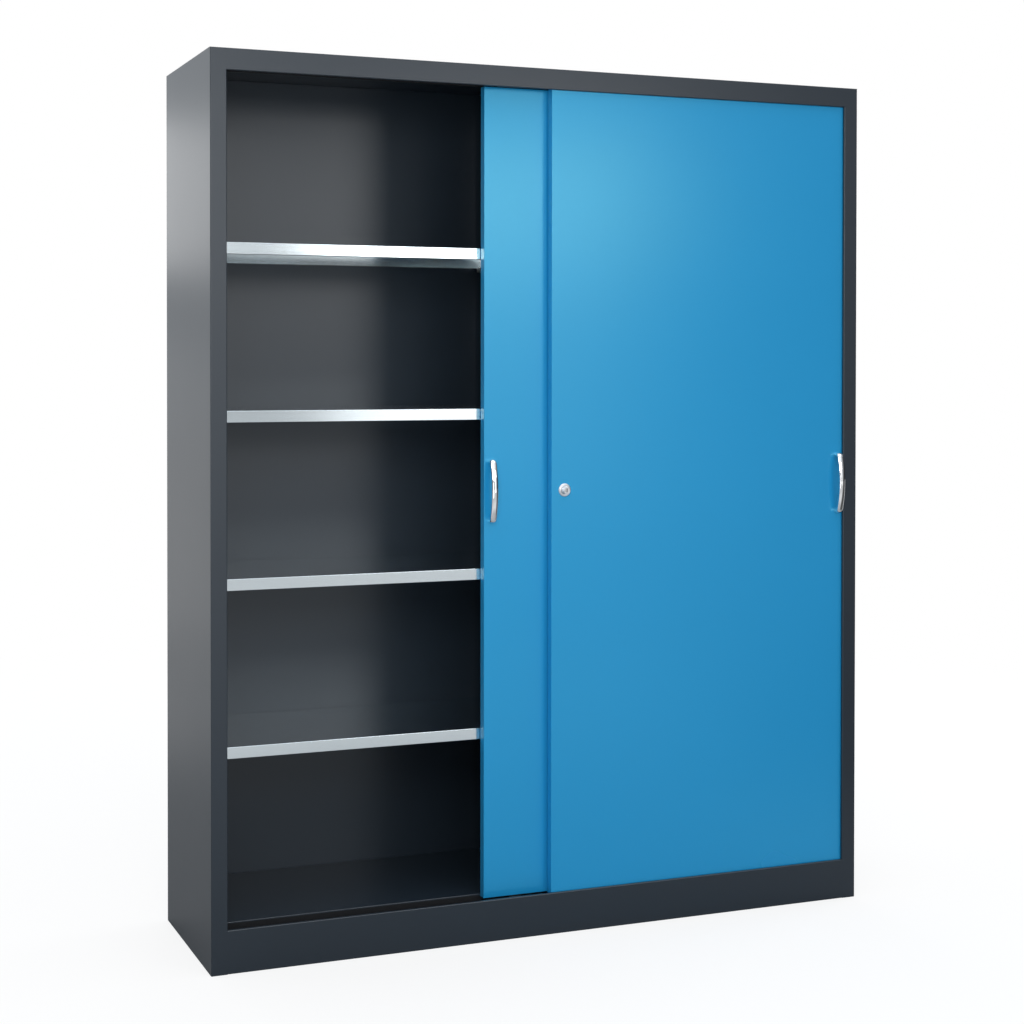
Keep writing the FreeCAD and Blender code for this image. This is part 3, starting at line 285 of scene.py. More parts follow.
def edge_shade():
    """A mask for painted shade on edges: 1 on bends and corners tighter than Reach, and 0 on flat sheet."""
    group, given, out = new_group("edge shade", {"Reach": 1.5 * MM, "Gain": 2.0}, {"Mask": "Float"})
    rounded = add(group, "Bevel", {"samples": 4}, Radius=given["Reach"])
    plain = add(group, "NewGeometry")
    turn = calculate_vector(group, "DOT_PRODUCT", rounded.outputs["Normal"], plain.outputs["Normal"])
    off = calculate(group, "SUBTRACT", 1.0, turn)
    gained = calculate(group, "MULTIPLY", off, given["Gain"])
    feed(group, out["Mask"], add(group, "Clamp", Value=gained).outputs["Result"])
    return group


GROUPS = {make.__name__: make() for make in (coat_skin, soft_patches, drawn_lines, zinc_flakes, edge_shade)}


def effect(tree, name, **values):
    """One of the shared effects, placed in a material with its own values."""
    node = tree.nodes.new("ShaderNodeGroup")
    node.node_tree = GROUPS[name]
    for label, value in values.items():
        feed(tree, node.inputs[label.replace("_", " ")], value)
    return node.outputs


def new_finish(name, **values):
    """A material with one Principled shader, whose plain values are set on its own sockets."""
    material = bpy.data.materials.new(name)
    material.use_nodes = True
    tree = material.node_tree
    shader = tree.nodes["Principled BSDF"]
    for label, value in values.items():
        feed(tree, shader.inputs[label.replace("_", " ")], value)
    return material, tree, shader.inputs


def bumped(tree, shader, height, distance):
    """Raise and sink the surface by the height, of which 1 stands for the distance."""
    bump = add(tree, "Bump", None, Height=height, Distance=distance)
    feed(tree, shader["Normal"], bump.outputs["Normal"])


def tint(colour, factor):
    """A colour made lighter or darker."""
    return tuple(channel * factor for channel in colour) + (1.0,)


# The finishes, one for each material slot of the record.


SKIN_DEPTH = 0.02 * MM
COAT_SMOOTHER = 0.02
COAT_ROUGHER = 0.03
# Painted shade on bends: how much of it is mixed in, and the tone the bends are darkened to.
BEND_SHADE = 0.35
SHADED_BEND_TONE = 0.3


def powder_coat(name, colour, roughness, patch_depth, waves, **values):
    """A baked powder coat: cloudy in tone by a few percent, with painted shade darkening its bends, and a
    waved skin.
    """
    material, tree, shader = new_finish(name, **values)
    skin = effect(tree, "coat_skin", Waves=waves)
    patches = effect(tree, "soft_patches", Patches=2.2, Contrast=0.8)["Mask"]
    edges = effect(tree, "edge_shade")["Mask"]
    cloudy = mixed(tree, patches, tint(colour, 1 - patch_depth), tint(colour, 1 + patch_depth))
    # Painted shade: the base colour is darkened on bends and tight corners.
    darker = calculate(tree, "MULTIPLY", edges, BEND_SHADE)
    feed(tree, shader["Base Color"], mixed(tree, darker, cloudy, tint(colour, SHADED_BEND_TONE)))
    spread = between(tree, patches, roughness - COAT_SMOOTHER, roughness + COAT_ROUGHER)
    feed(tree, shader["Roughness"], spread)
    bumped(tree, shader, skin["Height"], SKIN_DEPTH)
    return material


ZINC_TONES = ((0.82, 0.885, 0.91, 1), (0.835, 0.9, 0.925, 1))
ZINC_STREAK = (0.65, 0.7, 0.73, 1)
ZINC_STREAK_SHARE = 0.1
ZINC_ROUGHNESS = (0.14, 0.18)


def galvanised():
    """Bright galvanised sheet: a nearly even zinc layer, faintly flaked, with fine streaks along it."""
    material, tree, shader = new_finish("galvanised steel", Metallic=1.0)
    flakes = effect(tree, "zinc_flakes", Flakes=90.0)
    lines = effect(tree, "drawn_lines", Stretch=(1.5, 420.0, 420.0))
    tone = mixed(tree, flakes["Tone"], *ZINC_TONES)
    streaked = calculate(tree, "MULTIPLY", lines["Mask"], ZINC_STREAK_SHARE)
    feed(tree, shader["Base Color"], mixed(tree, streaked, tone, ZINC_STREAK))
    feed(tree, shader["Roughness"], between(tree, lines["Mask"], *ZINC_ROUGHNESS))
    bumped(tree, shader, lines["Height"], 0.002 * MM)
    return material


def plated(name, colour, low, high, stretch, depth):
    """Zinc-plated or machined steel: even metal with fine lines and a slight haze."""
    material, tree, shader = new_finish(name, Metallic=1.0)
    lines = effect(tree, "drawn_lines", Stretch=stretch)
    haze = effect(tree, "soft_patches", Patches=60.0)["Mask"]
    feed(tree, shader["Base Color"], mixed(tree, haze, tint(colour, 0.92), tint(colour, 1.0)))
    feed(tree, shader["Roughness"], between(tree, lines["Mask"], low, high))
    bumped(tree, shader, lines["Height"], depth)
    return material


CHROME_TONES = ((0.88, 0.89, 0.9, 1), (0.93, 0.93, 0.93, 1))
CHROME_ROUGHNESS = (0.03, 0.1)


def chrome():
    """Polished chrome with the faint haze of hands."""
    material, tree, shader = new_finish("chrome", Metallic=1.0)
    haze = effect(tree, "soft_patches", Patches=70.0, Contrast=2.5)["Mask"]
    feed(tree, shader["Base Color"], mixed(tree, haze, *CHROME_TONES))
    feed(tree, shader["Roughness"], between(tree, haze, *CHROME_ROUGHNESS))
    return material


GRAIN_ROUGHNESS = 0.08


def moulded(name, colour, roughness):
    """Moulded plastic with a fine spark-eroded grain."""
    material, tree, shader = new_finish(name)
    skin = effect(tree, "coat_skin", Waves=900.0, Grain=4000.0)
    patches = effect(tree, "soft_patches", Patches=45.0)["Mask"]
    feed(tree, shader["Base Color"], mixed(tree, patches, tint(colour, 0.93), tint(colour, 1.05)))
    spread = between(tree, skin["Mask"], roughness - GRAIN_ROUGHNESS, roughness + GRAIN_ROUGHNESS)
    feed(tree, shader["Roughness"], spread)
    bumped(tree, shader, skin["Height"], SKIN_DEPTH)
    return material


ANTHRACITE = (0.0166, 0.0264, 0.0385)
SKY_BLUE = (0.0188, 0.3465, 0.7276)
TRACK_BLACK = (0.014, 0.015, 0.017)
ZINC_GREY = (0.68, 0.7, 0.7)
NICKEL = (0.76, 0.77, 0.79)
CORE_STEEL = (0.7, 0.7, 0.72)
GLOSS_OF_GREY = {"Specular_IOR_Level": 0.65}
GLOSS_OF_BLUE = {"Specular_IOR_Level": 0.98, "Specular_Tint": (0.43, 1.0, 0.86, 1.0)}
COARSE_SKIN = {"patch_depth": 0.05, "waves": 320.0}
FINE_SKIN = {"patch_depth": 0.03, "waves": 200.0}
DRAWN = {"stretch": (500.0, 500.0, 60.0), "depth": 0.01 * MM}
LATHED = {"stretch": (900.0, 40.0, 900.0), "depth": 0.004 * MM}

FINISHES = {
    "carcass_paint": powder_coat("carcass paint", ANTHRACITE, 0.335, **COARSE_SKIN, **GLOSS_OF_GREY),
    "door_paint": powder_coat("door paint", SKY_BLUE, 0.26, **FINE_SKIN, **GLOSS_OF_BLUE),
    "galvanised_steel": galvanised(),
    "track_steel": powder_coat("track paint", TRACK_BLACK, 0.4, **COARSE_SKIN),
    "rail_paint": powder_coat("rail paint", ANTHRACITE, 0.335, **COARSE_SKIN, **GLOSS_OF_GREY),
    "zinc_steel": plated("zinc-plated steel", ZINC_GREY, 0.22, 0.38, **DRAWN),
    "chrome": chrome(),
    "lock_chrome": plated("lock nickel", NICKEL, 0.3, 0.36, **LATHED),
    "lock_core_steel": plated("lock core steel", CORE_STEEL, 0.3, 0.38, **LATHED),
    "black_plastic": moulded("black plastic", (0.022, 0.022, 0.024), 0.45),
    # The rollers' nylon is darkened to near black as painted shade, so that they read as the dark gap under
    # the doors.
    "nylon": moulded("black nylon", (0.03, 0.03, 0.032), 0.42),
}


def dress_nodes():
    """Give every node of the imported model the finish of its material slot."""
    for part in frame["record"]["subparts"]:
        mesh = frame["nodes"][part["node"]].data
        mesh.materials.clear()
        mesh.materials.append(FINISHES[part["material_slot"]])


# Surfaces worked out on grids of points. A surface is its points, one per row, and its four-cornered faces.


def grid(points, ring=True):
    """The surface of rows and columns of points. A ring joins the last column to the first."""
    rows, columns = points.shape[:2]
    row, column = np.meshgrid(np.arange(rows - 1), np.arange(columns - (not ring)), indexing="ij")
    beside = (column + 1) % columns
    here = row * columns
    above = here + columns
    faces = [here + column, here + beside, above + beside, above + column]
    return points.reshape(-1, 3), np.stack(faces, axis=-1).reshape(-1, 4)


def tube(rings):
    """The surface round a row of rings, closed at both ends by a point in the middle of the last ring."""
    ends = [np.broadcast_to(ring.mean(axis=0), ring.shape)[None] for ring in (rings[0], rings[-1])]
    return grid(np.concatenate([ends[0], rings, ends[1]]))


def together(surfaces):
    """Several surfaces in one mesh."""
    counts = np.cumsum([0] + [len(points) for points, _ in surfaces])
    points = np.concatenate([points for points, _ in surfaces])
    return points, np.concatenate([faces + start for (_, faces), start in zip(surfaces, counts)])


def softened(corners, reach, steps=5):
    """A line through corners whose inner corners are eased into parabola arcs.

    With the corner C and the arc's ends A and B, no further than reach from C and no further than halfway to
    the next corners, the arc is (1 - t)^2 A + 2t(1 - t) C + t^2 B for t from 0 to 1.
    """
    corners = np.asarray(corners, float)
    inner = corners[1:-1]
    share = np.linspace(0, 1, steps)[None, :, None]
    ends = []
    for other in (corners[:-2], corners[2:]):
        way = other - inner
        length = np.linalg.norm(way, axis=1, keepdims=True)
        ends.append((inner + way * np.minimum(reach / length, 0.5))[:, None])
    arcs = (1 - share) ** 2 * ends[0] + 2 * share * (1 - share) * inner[:, None] + share**2 * ends[1]
    return np.concatenate([corners[:1], arcs.reshape(-1, 2), corners[-1:]])


def turned(profile, centre, axis, sides=64, ripple=None):
    """A profile of (place along the axis, radius) turned about an axis through the centre.

    A point at the angle a is centre + along * axis + radius * (cos a * first + sin a * second), where
    first and second stand square to the axis. Ripple changes the radius and is a function of (along,
    radius, angle).
    """
    along, radius = np.asarray(profile, float).T[:, :, None]
    angle = np.linspace(0, 2 * math.pi, sides, endpoint=False)[None, :]
    if ripple:
        radius = ripple(along, radius, angle)
    order = {"Y": (0, 1, 2), "Z": (0, 2, 1)}[axis]
    parts = [radius * np.cos(angle), along + 0 * angle, radius * np.sin(angle)]
    return grid(np.array(centre) + np.stack([parts[place] for place in order], axis=-1))


def round_y(along, radius, angle):
    """The points that lie at the radius and the angle round the Y axis, at y = along."""
    return np.stack([radius * np.cos(angle), along + 0 * angle, radius * np.sin(angle)], axis=-1)


def hexagon(across):
    """A ripple that makes a turned piece six-sided, no wider than `across` between its flats."""

    def shaped(along, radius, angle):
        third = math.pi / 3
        return np.minimum(radius, across / 2 / np.cos((angle + third / 2) % third - third / 2))

    return shaped


def make_piece(surface, name, body, slot, *stands_for, sharp=35):
    """A mesh from a surface, with closed seams, in its finish, riding on its body in place of its nodes."""
    points, faces = surface
    mesh = bpy.data.meshes.new(name)
    mesh.from_pydata(points.tolist(), [], faces.tolist())
    shell = bmesh.new()
    shell.from_mesh(mesh)
    bmesh.ops.remove_doubles(shell, verts=shell.verts, dist=0.002 * MM)
    bmesh.ops.recalc_face_normals(shell, faces=shell.faces)
    shell.to_mesh(mesh)
    shell.free()
    mesh.shade_smooth()
    mesh.set_sharp_from_angle(angle=math.radians(sharp))
    mesh.materials.append(FINISHES[slot])
    piece = bpy.data.objects.new(name, mesh)
    bpy.context.scene.collection.objects.link(piece)
    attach(piece, body)
    if stands_for:
        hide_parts(*stands_for)
    return piece


# The handles.

LEG = 10 * MM
BOW_THICKNESS = 7 * MM
BOW_RISE = 12 * MM
BOW_CORNER = 8 * MM
BOW_FULLNESS = 2.1


def bow_handle(door):
    """An arched grip on two legs, with a pillow-shaped section.

    The middle line is a staple with eased corners. Its distance from the door is stretched by
    (depth - rise * u^2) / (depth - rise * end^2), with u from -1 to 1 up the handle, which bows it outwards.
    The section is a superellipse, |a / A|^n + |b / B|^n = 1, whose thickness B grows from bow to leg.
    """
    low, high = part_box(f"{door}_handle")
    middle = (low + high) / 2
    half = (high.z - low.z) / 2
    leg = half - LEG / 2
    depth = high.y - low.y - BOW_THICKNESS / 2
    end = depth - BOW_RISE * (leg / half) ** 2
    staple = softened([(-leg, 0), (-leg, end), (leg, end), (leg, 0)], BOW_CORNER, 16)
    steps = np.concatenate([[0], np.cumsum(np.linalg.norm(np.diff(staple, axis=0), axis=1))])
    places = np.linspace(0, steps[-1], 120)
    up = np.interp(places, steps, staple[:, 0])
    out = np.interp(places, steps, staple[:, 1])
    out = out * (depth - BOW_RISE * (up / half) ** 2) / end
    run = np.stack([np.gradient(up), np.gradient(out)], axis=1)
    run /= np.linalg.norm(run, axis=1, keepdims=True)
    nearness = np.clip((leg - np.abs(up)) / BOW_CORNER, 0, 1)
    thick = LEG + (BOW_THICKNESS - LEG) * nearness * nearness * (3 - 2 * nearness)
    angle = np.linspace(0, 2 * math.pi, 48, endpoint=False)
    power = 2 / BOW_FULLNESS
    across = (high.x - low.x) / 2 * np.sign(np.cos(angle)) * np.abs(np.cos(angle)) ** power
    proud = np.sign(np.sin(angle)) * np.abs(np.sin(angle)) ** power / 2
    offset = proud[None, :] * thick[:, None]
    x = np.broadcast_to(middle.x + across, offset.shape)
    y = high.y - (out[:, None] + run[:, :1] * offset)
    z = middle.z + up[:, None] - run[:, 1:] * offset
    surface = tube(np.stack([x, y, z], axis=-1))
    make_piece(surface, f"{door}_bow_handle", door, "chrome", f"{door}_handle", sharp=60)


# The lock.

LOCK_RADIUS = 15 * MM
BARREL_RADIUS = 11 * MM
PLUNGER_BORE = 9.05 * MM
BOLT_HOLE = 4.1 * MM
BARREL_WALL = 2 * MM
ROSETTE_HEIGHT = 2.5 * MM
CORE_BORE = 5.05 * MM
KEY_SLOT = (2 * MM, 8 * MM, 10 * MM)


def lock_centre(node):
    """Where the axis of the lock crosses y = 0."""
    low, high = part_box(node)
    return ((low.x + high.x) / 2, 0, (low.z + high.z) / 2)


def lock_housing():
    """The barrel with its rosette: a closed profile turned about the lock's axis."""
    low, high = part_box("lock_housing")
    face = low.y
    flange = face + ROSETTE_HEIGHT
    wall = high.y - BARREL_WALL
    outside = [(face + 0.5 * MM, PLUNGER_BORE), (face, PLUNGER_BORE + 0.6 * MM)]
    outside += [(face, LOCK_RADIUS - 1.6 * MM), (face + 1.4 * MM, LOCK_RADIUS)]
    outside += [(flange, LOCK_RADIUS), (flange, BARREL_RADIUS)]
    inside = [(high.y, BARREL_RADIUS), (high.y, BOLT_HOLE), (wall, BOLT_HOLE), (wall, PLUNGER_BORE)]
    profile = softened(outside + inside + outside[:1], 0.5 * MM)
    surface = turned(profile, lock_centre("lock_housing"), "Y", 96)
    make_piece(surface, "lock_barrel_and_rosette", "front_door", "lock_chrome", "lock_housing")


def lock_cylinder():
    """The push cylinder: a turned cup whose bore holds the core, with a shallow ring round its face."""
    low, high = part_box("lock_cylinder")
    radius = (high.x - low.x) / 2
    face = low.y
    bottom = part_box("lock_core")[1].y + 0.05 * MM
    cup = [(bottom, 0), (bottom, CORE_BORE), (face + 0.3 * MM, CORE_BORE), (face, CORE_BORE + 0.3 * MM)]
    ring = [(face, 7.2 * MM), (face + 0.25 * MM, 7.5 * MM), (face + 0.25 * MM, 7.8 * MM), (face, 8.1 * MM)]
    rim = [(face, radius - 0.6 * MM), (face + 0.6 * MM, radius), (high.y, radius), (high.y, 0)]
    profile = softened(cup + ring + rim, 0.3 * MM)
    surface = turned(profile, lock_centre("lock_cylinder"), "Y", 96)
    make_piece(surface, "lock_push_cylinder", "lock_plunger", "lock_chrome", "lock_cylinder")


def lock_core():
    """The core with its upright key slot.

    Each ring of points runs round the axis. On the slot's wall the radius in the direction a is
    min(half width / |cos a|, half height / |sin a|).
    """
    low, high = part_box("lock_core")
    radius = (high.x - low.x) / 2
    width, height, depth = KEY_SLOT
    angle = np.linspace(0, 2 * math.pi, 144, endpoint=False)
    with np.errstate(divide="ignore"):
        slot = np.minimum(width / 2 / np.abs(np.cos(angle)), height / 2 / np.abs(np.sin(angle)))
    bevel = 0.25 * MM
    levels = [(high.y, 0), (high.y, radius), (low.y + bevel, radius), (low.y, radius - bevel)]
    levels += [(low.y, slot + bevel / 2), (low.y + bevel, slot), (low.y + depth, slot), (low.y + depth, 0)]
    middle = np.array(lock_centre("lock_core"))
    rings = [round_y(along, size, angle) for along, size in levels]
    make_piece(grid(middle + np.stack(rings)), "lock_key_core", "key_core", "lock_core_steel", "lock_core")


def lock_bolt():
    """The bolt behind the cylinder, a pin with a rounded tip."""
    low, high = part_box("lock_bolt")
    radius = (high.x - low.x) / 2
    profile = softened([(low.y, 0), (low.y, radius), (high.y, radius), (high.y, 0)], 1.2 * MM, 8)
    surface = turned(profile, lock_centre("lock_bolt"), "Y")
    make_piece(surface, "lock_round_bolt", "lock_plunger", "zinc_steel", "lock_bolt")


SPRING_WIRE = 0.45 * MM
SPRING_TURNS = 4
SPRING_RINGS = 241


def lock_spring():
    """The coil spring that pushes the cylinder out again.

    The wire's middle line is a helix of four turns, with half a flat turn more at each end. Round it runs
    a circle of the wire's radius, which stays upright along Y.
    """
    low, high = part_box("lock_spring")
    centre = np.array(lock_centre("lock_spring"))
    wire = SPRING_WIRE
    radius = (high.x - low.x) / 2 - wire
    turn = np.linspace(0, SPRING_TURNS + 1, SPRING_RINGS)
    rise = low.y + wire + (high.y - low.y - 2 * wire) * np.clip((turn - 0.5) / SPRING_TURNS, 0, 1)
    angle = 2 * math.pi * turn
    ring = np.linspace(0, 2 * math.pi, 12, endpoint=False)[None, :]
    out = radius + wire * np.cos(ring)
    x = out * np.cos(angle)[:, None]
    z = out * np.sin(angle)[:, None]
    y = rise[:, None] + wire * np.sin(ring)
    rings = centre + np.stack([x, y + 0 * x, z], axis=-1)
    piece = make_piece(tube(rings), "lock_coil_spring", "front_door", "zinc_steel", "lock_spring")
    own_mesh(piece)


def hex_nut(centre, axis, low, high, across, bore):
    """A six-sided nut whose corners are cut back by a cone at both ends."""
    corner = across / math.sqrt(3)
    cut = 0.12 * across
    profile = [(low, bore), (low, across / 2), (low + cut / 2, corner), (high - cut / 2, corner)]
    profile += [(high, across / 2), (high, bore), (low, bore)]
    return turned(softened(profile, 0.1 * MM, 3), centre, axis, 96, hexagon(across))


def lock_nut():
    """The nut that clamps the lock to the door from inside."""
    low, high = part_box("lock_nut")
    across = high.z - low.z
    nut = hex_nut(lock_centre("lock_nut"), "Y", low.y, high.y, across, BARREL_RADIUS + 0.05 * MM)
    make_piece(nut, "lock_hex_nut", "front_door", "zinc_steel", "lock_nut")


# What the doors run on.

RIDE_RADIUS = 15 * MM
GROOVE = 1.5 * MM
GROOVE_MOUTH = 2.6 * MM
HUB_RADIUS = 6 * MM
RIM_INSIDE = 13.5 * MM
WEB_RECESS = 1.4 * MM
AXLE_BORE = 2.55 * MM


def roller(door, side):
    """A grooved nylon wheel with a thinner web between hub and rim, as moulding makes it."""
    name = f"{door}_roller_{side}"
    low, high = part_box(name)
    outside = (high.x - low.x) / 2
    half = (high.y - low.y) / 2
    centre = (low + high) / 2
    face = [(half, AXLE_BORE), (half, HUB_RADIUS), (half - WEB_RECESS, HUB_RADIUS + 0.4 * MM)]
    face += [(half - WEB_RECESS, RIM_INSIDE - 0.4 * MM), (half, RIM_INSIDE), (half, outside)]
    groove = [(GROOVE_MOUTH, outside), (GROOVE, RIDE_RADIUS)]
    right = face + groove
    left = [(-along, radius) for along, radius in reversed(right)]
    profile = softened(right + left + right[:1], 0.4 * MM, 4)
    make_piece(turned(profile, centre, "Y"), f"{door}_wheel_{side}", f"{door}_{side}_roller", "nylon", name)


def pin(centre, low, high, radius):
    """A round pin with eased ends."""
    profile = softened([(low, 0), (low, radius), (high, radius), (high, 0)], 0.5 * MM)
    return turned(profile, centre, "Y", 32)


def roller_axles(door):
    """The two plain pins that the rollers turn on."""
    low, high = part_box(f"{door}_roller_axles")
    radius = (high.z - low.z) / 2
    places = [(x, 0, low.z + radius) for x in (low.x + radius, high.x - radius)]
    pins = [pin(place, low.y, high.y, radius) for place in places]
    make_piece(together(pins), f"{door}_axle_pins", door, "zinc_steel", f"{door}_roller_axles")


SCREW_HEAD = 3 * MM
SCREW_SHANK = 2 * MM
CROSS_WIDTH = 0.9 * MM
CROSS_REACH = 2.2 * MM
CROSS_DEPTH = 1.3 * MM
CROSS_SLOPE = 0.4 * MM
DOME_HEIGHT = 1.2 * MM
DOME_FULLNESS = 2.6


def screw(centre, tip, head_end, head_radius):
    """A pan-head screw along Y whose shank points to -Y.

    The head's end is a dome, from which a cross is sunk: within the reach the depth falls with the distance
    to the nearer arm, radius * min(|sin a|, |cos a|), where a is the angle round the axis.
    """
    seat = head_end - SCREW_HEAD
    shank = [(tip, 0), (tip + 0.8 * MM, SCREW_SHANK), (seat, SCREW_SHANK), (seat, head_radius)]
    side = softened(shank + [(head_end - DOME_HEIGHT, head_radius)], 0.2 * MM, 3)
    angle = np.linspace(0, 2 * math.pi, 64, endpoint=False)[None, :]
    radius = head_radius * np.linspace(1, 0, 20)[1:, None]
    dome = head_end - DOME_HEIGHT * (radius / head_radius) ** DOME_FULLNESS
    aside = radius * np.minimum(np.abs(np.sin(angle)), np.abs(np.cos(angle)))
    within_arm = np.clip((CROSS_WIDTH - aside) / CROSS_SLOPE, 0, 1)
    within_reach = np.clip((CROSS_REACH - radius) / CROSS_SLOPE, 0, 1)
    y = dome - CROSS_DEPTH * (within_arm * within_reach)
    rings = round_y(side[:, :1], side[:, 1:], angle)
    return grid(np.array(centre) + np.concatenate([rings, round_y(y, radius, angle)]))


def handle_screws(door):
    """The two screws that hold a handle from inside the door."""
    low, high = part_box(f"{door}_handle_screws")
    radius = (high.x - low.x) / 2
    places = [(low.x + radius, 0, z) for z in (low.z + radius, high.z - radius)]
    screws = [screw(place, low.y, high.y, radius) for place in places]
    make_piece(together(screws), f"{door}_pan_head_screws", door, "zinc_steel", f"{door}_handle_screws")


# The levelling feet and the rivets.

FOOT_PAD = 6 * MM
FOOT_NUT = 8 * MM
FOOT_NUT_ACROSS = 15.6 * MM
FOOT_STEM = 5 * MM
THREAD_PITCH = 1.5 * MM
THREAD_DEPTH = 0.85 * MM
THREAD_RINGS = 420
STEM_TIP = 1 * MM


def thread(along, radius, angle):
    """The radius of a screw thread: it falls by up to the thread's depth away from the nearest crest."""
    turn = along / THREAD_PITCH - angle / (2 * math.pi)
    return radius - THREAD_DEPTH * np.abs(2 * (turn - np.floor(turn)) - 1)


def levelling_foot(place):
    """A round pad with a nut and a threaded stem on top."""
    node = f"levelling_foot_{place}"
    low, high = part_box(node)
    centre = ((low.x + high.x) / 2, (low.y + high.y) / 2, 0)
    pad_radius = (high.x - low.x) / 2
    pad_top = low.z + FOOT_PAD
    pad_line = [(low.z, 0), (low.z, pad_radius), (low.z + 3 * MM, pad_radius)]
    pad_line += [(pad_top, pad_radius - 5 * MM), (pad_top, 0)]
    pad = turned(softened(pad_line, 1.2 * MM), centre, "Z")
    nut = hex_nut(centre, "Z", pad_top, pad_top + FOOT_NUT, FOOT_NUT_ACROSS, FOOT_STEM - THREAD_DEPTH)
    stem_top = high.z - STEM_TIP
    levels = np.linspace(pad_top, stem_top, THREAD_RINGS)
    stem = turned(np.stack([levels, np.full(THREAD_RINGS, FOOT_STEM)], axis=1), centre, "Z", 36, thread)
    tip_line = [(stem_top, FOOT_STEM - THREAD_DEPTH), (high.z, FOOT_STEM - 1.5 * MM), (high.z, 0)]
    tip = turned(tip_line, centre, "Z", 36)
    make_piece(together([pad, nut, stem, tip]), f"foot_{place}", f"{place}_foot", "zinc_steel", node)


RIVET_COUNT = 7
RIVET_RADIUS = 3.2 * MM
RIVET_HEIGHT = 0.9 * MM


def back_rivets():
    """Dome-headed rivets in two columns beside the seam of the back panels."""
    low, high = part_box("back_panel_rivets")
    radius = RIVET_RADIUS
    face = high.y - RIVET_HEIGHT
    bulge = np.linspace(0, math.pi / 2, 6)
    dome = [(face + RIVET_HEIGHT * math.sin(a), radius * math.cos(a)) for a in bulge]
    profile = [(low.y, 0), (low.y, radius / 2), (face, radius / 2)] + dome
    levels = np.linspace(low.z + radius, high.z - radius, RIVET_COUNT)
    rivets = [turned(profile, (x, 0, z), "Y", 24) for x in (low.x + radius, high.x - radius) for z in levels]
    make_piece(together(rivets), "back_dome_rivets", "carcass", "zinc_steel", "back_panel_rivets")


# The welds that close the front frame's corners.

SHEET = 1 * MM
SHEET_BEND = 2 * MM
WELD_PROUD = 0.02 * MM
RAIL_BOTTOM = 1904 * MM
WELD_LAP = 0.3 * MM


def strip(line, low, high):
    """A narrow strip of sheet that follows a line of (y, z) places, from low to high along X.

    The strip's far side stands one sheet's thickness from the line, along the line's normal (dz, -dy).
    """
    run = np.gradient(line, axis=0)
    run /= np.linalg.norm(run, axis=1, keepdims=True)
    behind = line + SHEET * np.stack([run[:, 1], -run[:, 0]], axis=1)
    x = np.array([low, high, high, low])[None, :]
    y = np.stack([line[:, 0], line[:, 0], behind[:, 0], behind[:, 0]], axis=1)
    z = np.stack([line[:, 1], line[:, 1], behind[:, 1], behind[:, 1]], axis=1)
    return tube(np.stack([x + 0 * y, y, z], axis=-1))


def frame_welds():
    """Ground welds between the stiles' rounded edges and the ends of the top and bottom rails."""
    plinth_low, plinth_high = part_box("front_plinth")
    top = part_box("top_panel")[1].z
    face = plinth_low.y - WELD_PROUD
    turned_in = face + SHEET_BEND
    bottom_rail = [(turned_in, plinth_low.z), (face, plinth_low.z)]
    bottom_rail += [(face, plinth_high.z), (turned_in, plinth_high.z)]
    top_rail = [(face, top - SHEET_BEND), (face, RAIL_BOTTOM), (turned_in, RAIL_BOTTOM)]
    lines = [softened(bottom_rail, SHEET_BEND, 7), softened(top_rail[::-1], SHEET_BEND, 7)]
    ends = [(plinth_low.x - SHEET_BEND - WELD_LAP, plinth_low.x + WELD_LAP)]
    ends += [(plinth_high.x - WELD_LAP, plinth_high.x + SHEET_BEND + WELD_LAP)]
    strips = [strip(line, low, high) for line in lines for low, high in ends]
    make_piece(together(strips), "frame_corner_welds", "carcass", "carcass_paint")


# The floor and the white surroundings.


def floor_material():
    """A pale matt floor, mostly plain white to the camera, with a glow that only shiny surfaces see."""
    material = bpy.data.materials.new("pale floor")
    material.use_nodes = True
    tree = material.node_tree
    tree.nodes.remove(tree.nodes["Principled BSDF"])
    path = add(tree, "LightPath").outputs
    camera = path["Is Camera Ray"]
    glossy = path["Is Glossy Ray"]
    place = object_place(tree)
    away = calculate_vector(tree, "LENGTH", place)
    lean = calculate_vector(tree, "DOT_PRODUCT", calculate_vector(tree, "NORMALIZE", place), DIM_DIRECTION)
    dimming = ramp(tree, lean, DIM_LEAN, 1.0, DIM_LEAST)
    dim = between(tree, calculate(tree, "MULTIPLY", ramp(tree, away, DIM_REACH), glossy), 1.0, dimming)
    grey = between(tree, camera, calculate(tree, "MULTIPLY", dim, FLOOR_GREY), 1.0)
    grey_colour = add(tree, "CombineColor", Red=grey, Green=grey, Blue=grey).outputs["Color"]
    matt = add(tree, "BsdfDiffuse", Color=grey_colour)
    white = add(tree, "Emission", Color=(1, 1, 1, 1), Strength=1.0)
    whiteness = between(tree, ramp(tree, away, ALL_WHITE_REACH), WHITE_NEARBY, 1.0)
    seen = add(tree, "MixShader")
    feed(tree, seen.inputs[0], calculate(tree, "MULTIPLY", camera, whiteness))
    feed(tree, seen.inputs[1], matt.outputs["BSDF"])
    feed(tree, seen.inputs[2], white.outputs["Emission"])
    glow = calculate(tree, "MULTIPLY", ramp(tree, away, GLOW_REACH, 0.0, GLOW), glossy)
    mirrored = calculate(tree, "MULTIPLY", glow, dim)
    sheen = add(tree, "Emission", Color=(1, 1, 1, 1), Strength=mirrored)
    both = add(tree, "AddShader")
    feed(tree, both.inputs[0], seen.outputs["Shader"])
    feed(tree, both.inputs[1], sheen.outputs["Emission"])
    feed(tree, tree.nodes["Material Output"].inputs["Surface"], both.outputs["Shader"])
    return material


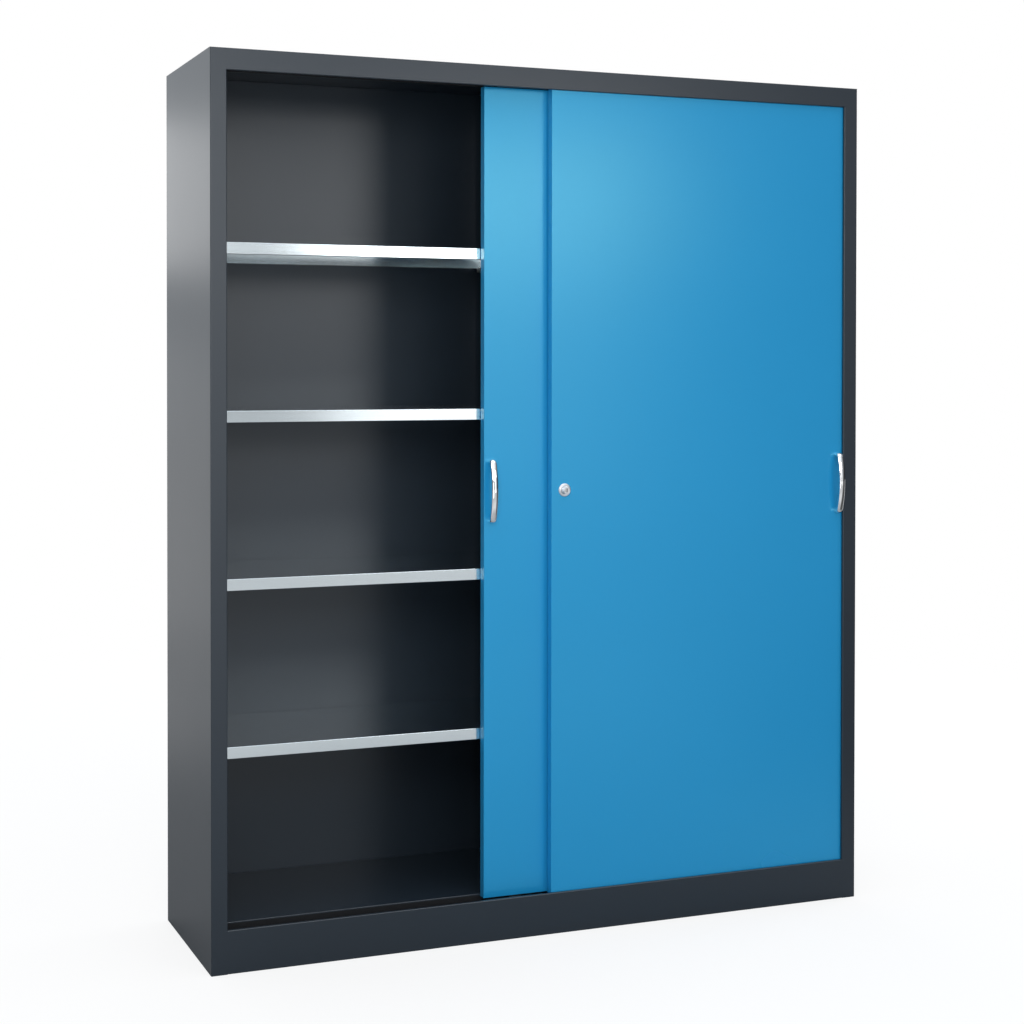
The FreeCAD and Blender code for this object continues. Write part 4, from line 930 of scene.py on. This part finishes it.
def make_floor():
    """A pale floor that the camera sees as white, but for the cabinet's soft shadow on it."""
    low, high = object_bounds()
    corners = [
        (low.x - FLOOR_MARGIN, low.y - FLOOR_MARGIN, 0),
        (high.x + FLOOR_MARGIN, low.y - FLOOR_MARGIN, 0),
        (high.x + FLOOR_MARGIN, high.y + FLOOR_MARGIN, 0),
        (low.x - FLOOR_MARGIN, high.y + FLOOR_MARGIN, 0),
    ]
    mesh = bpy.data.meshes.new("floor")
    mesh.from_pydata(corners, [], [(0, 1, 2, 3)])
    mesh.materials.append(floor_material())
    floor = bpy.data.objects.new("floor", mesh)
    bpy.context.scene.collection.objects.link(floor)


def towards(tree, direction, power=2.0):
    """How far the world's direction leans to the given one: a power of the positive part of their product."""
    product = calculate_vector(tree, "DOT_PRODUCT", add(tree, "TexCoord").outputs["Generated"], direction)
    return calculate(tree, "POWER", calculate(tree, "MAXIMUM", product, 0.0), power)


def make_surroundings():
    """A studio that is white to the camera and lights the cabinet softly from above.

    Shiny surfaces also see its pale walls in front and behind.
    """
    world = bpy.data.worlds.new("studio")
    world.use_nodes = True
    tree = world.node_tree
    path = add(tree, "LightPath").outputs
    strength = calculate(tree, "MULTIPLY", towards(tree, (0, 0, 1)), SKY)
    glossy = calculate(tree, "MAXIMUM", path["Is Glossy Ray"], path["Is Transmission Ray"])
    for direction, level, fade in WALLS.values():
        wall = calculate(tree, "MULTIPLY", towards(tree, direction, fade), level)
        strength = calculate(tree, "ADD", strength, calculate(tree, "MULTIPLY", wall, glossy))
    background = tree.nodes["Background"]
    feed(tree, background.inputs["Color"], mixed(tree, path["Is Camera Ray"], SKY_TONE, (1, 1, 1, 1)))
    feed(tree, background.inputs["Strength"], between(tree, path["Is Camera Ray"], strength, 1.0))
    bpy.context.scene.world = world


make_camera()
for lamp_name, lamp in LAMPS.items():
    make_lamp(lamp_name, *lamp)
make_surroundings()
dress_nodes()
make_floor()
for door_name in ("rear_door", "front_door"):
    bow_handle(door_name)
    handle_screws(door_name)
    roller_axles(door_name)
    roller(door_name, "left")
    roller(door_name, "right")
lock_housing()
lock_nut()
lock_cylinder()
lock_core()
lock_bolt()
lock_spring()
for foot_place in ("front_left", "front_right", "rear_left", "rear_right"):
    levelling_foot(foot_place)
back_rivets()
frame_welds()

view = bpy.context.scene.view_settings
view.view_transform = "Standard"
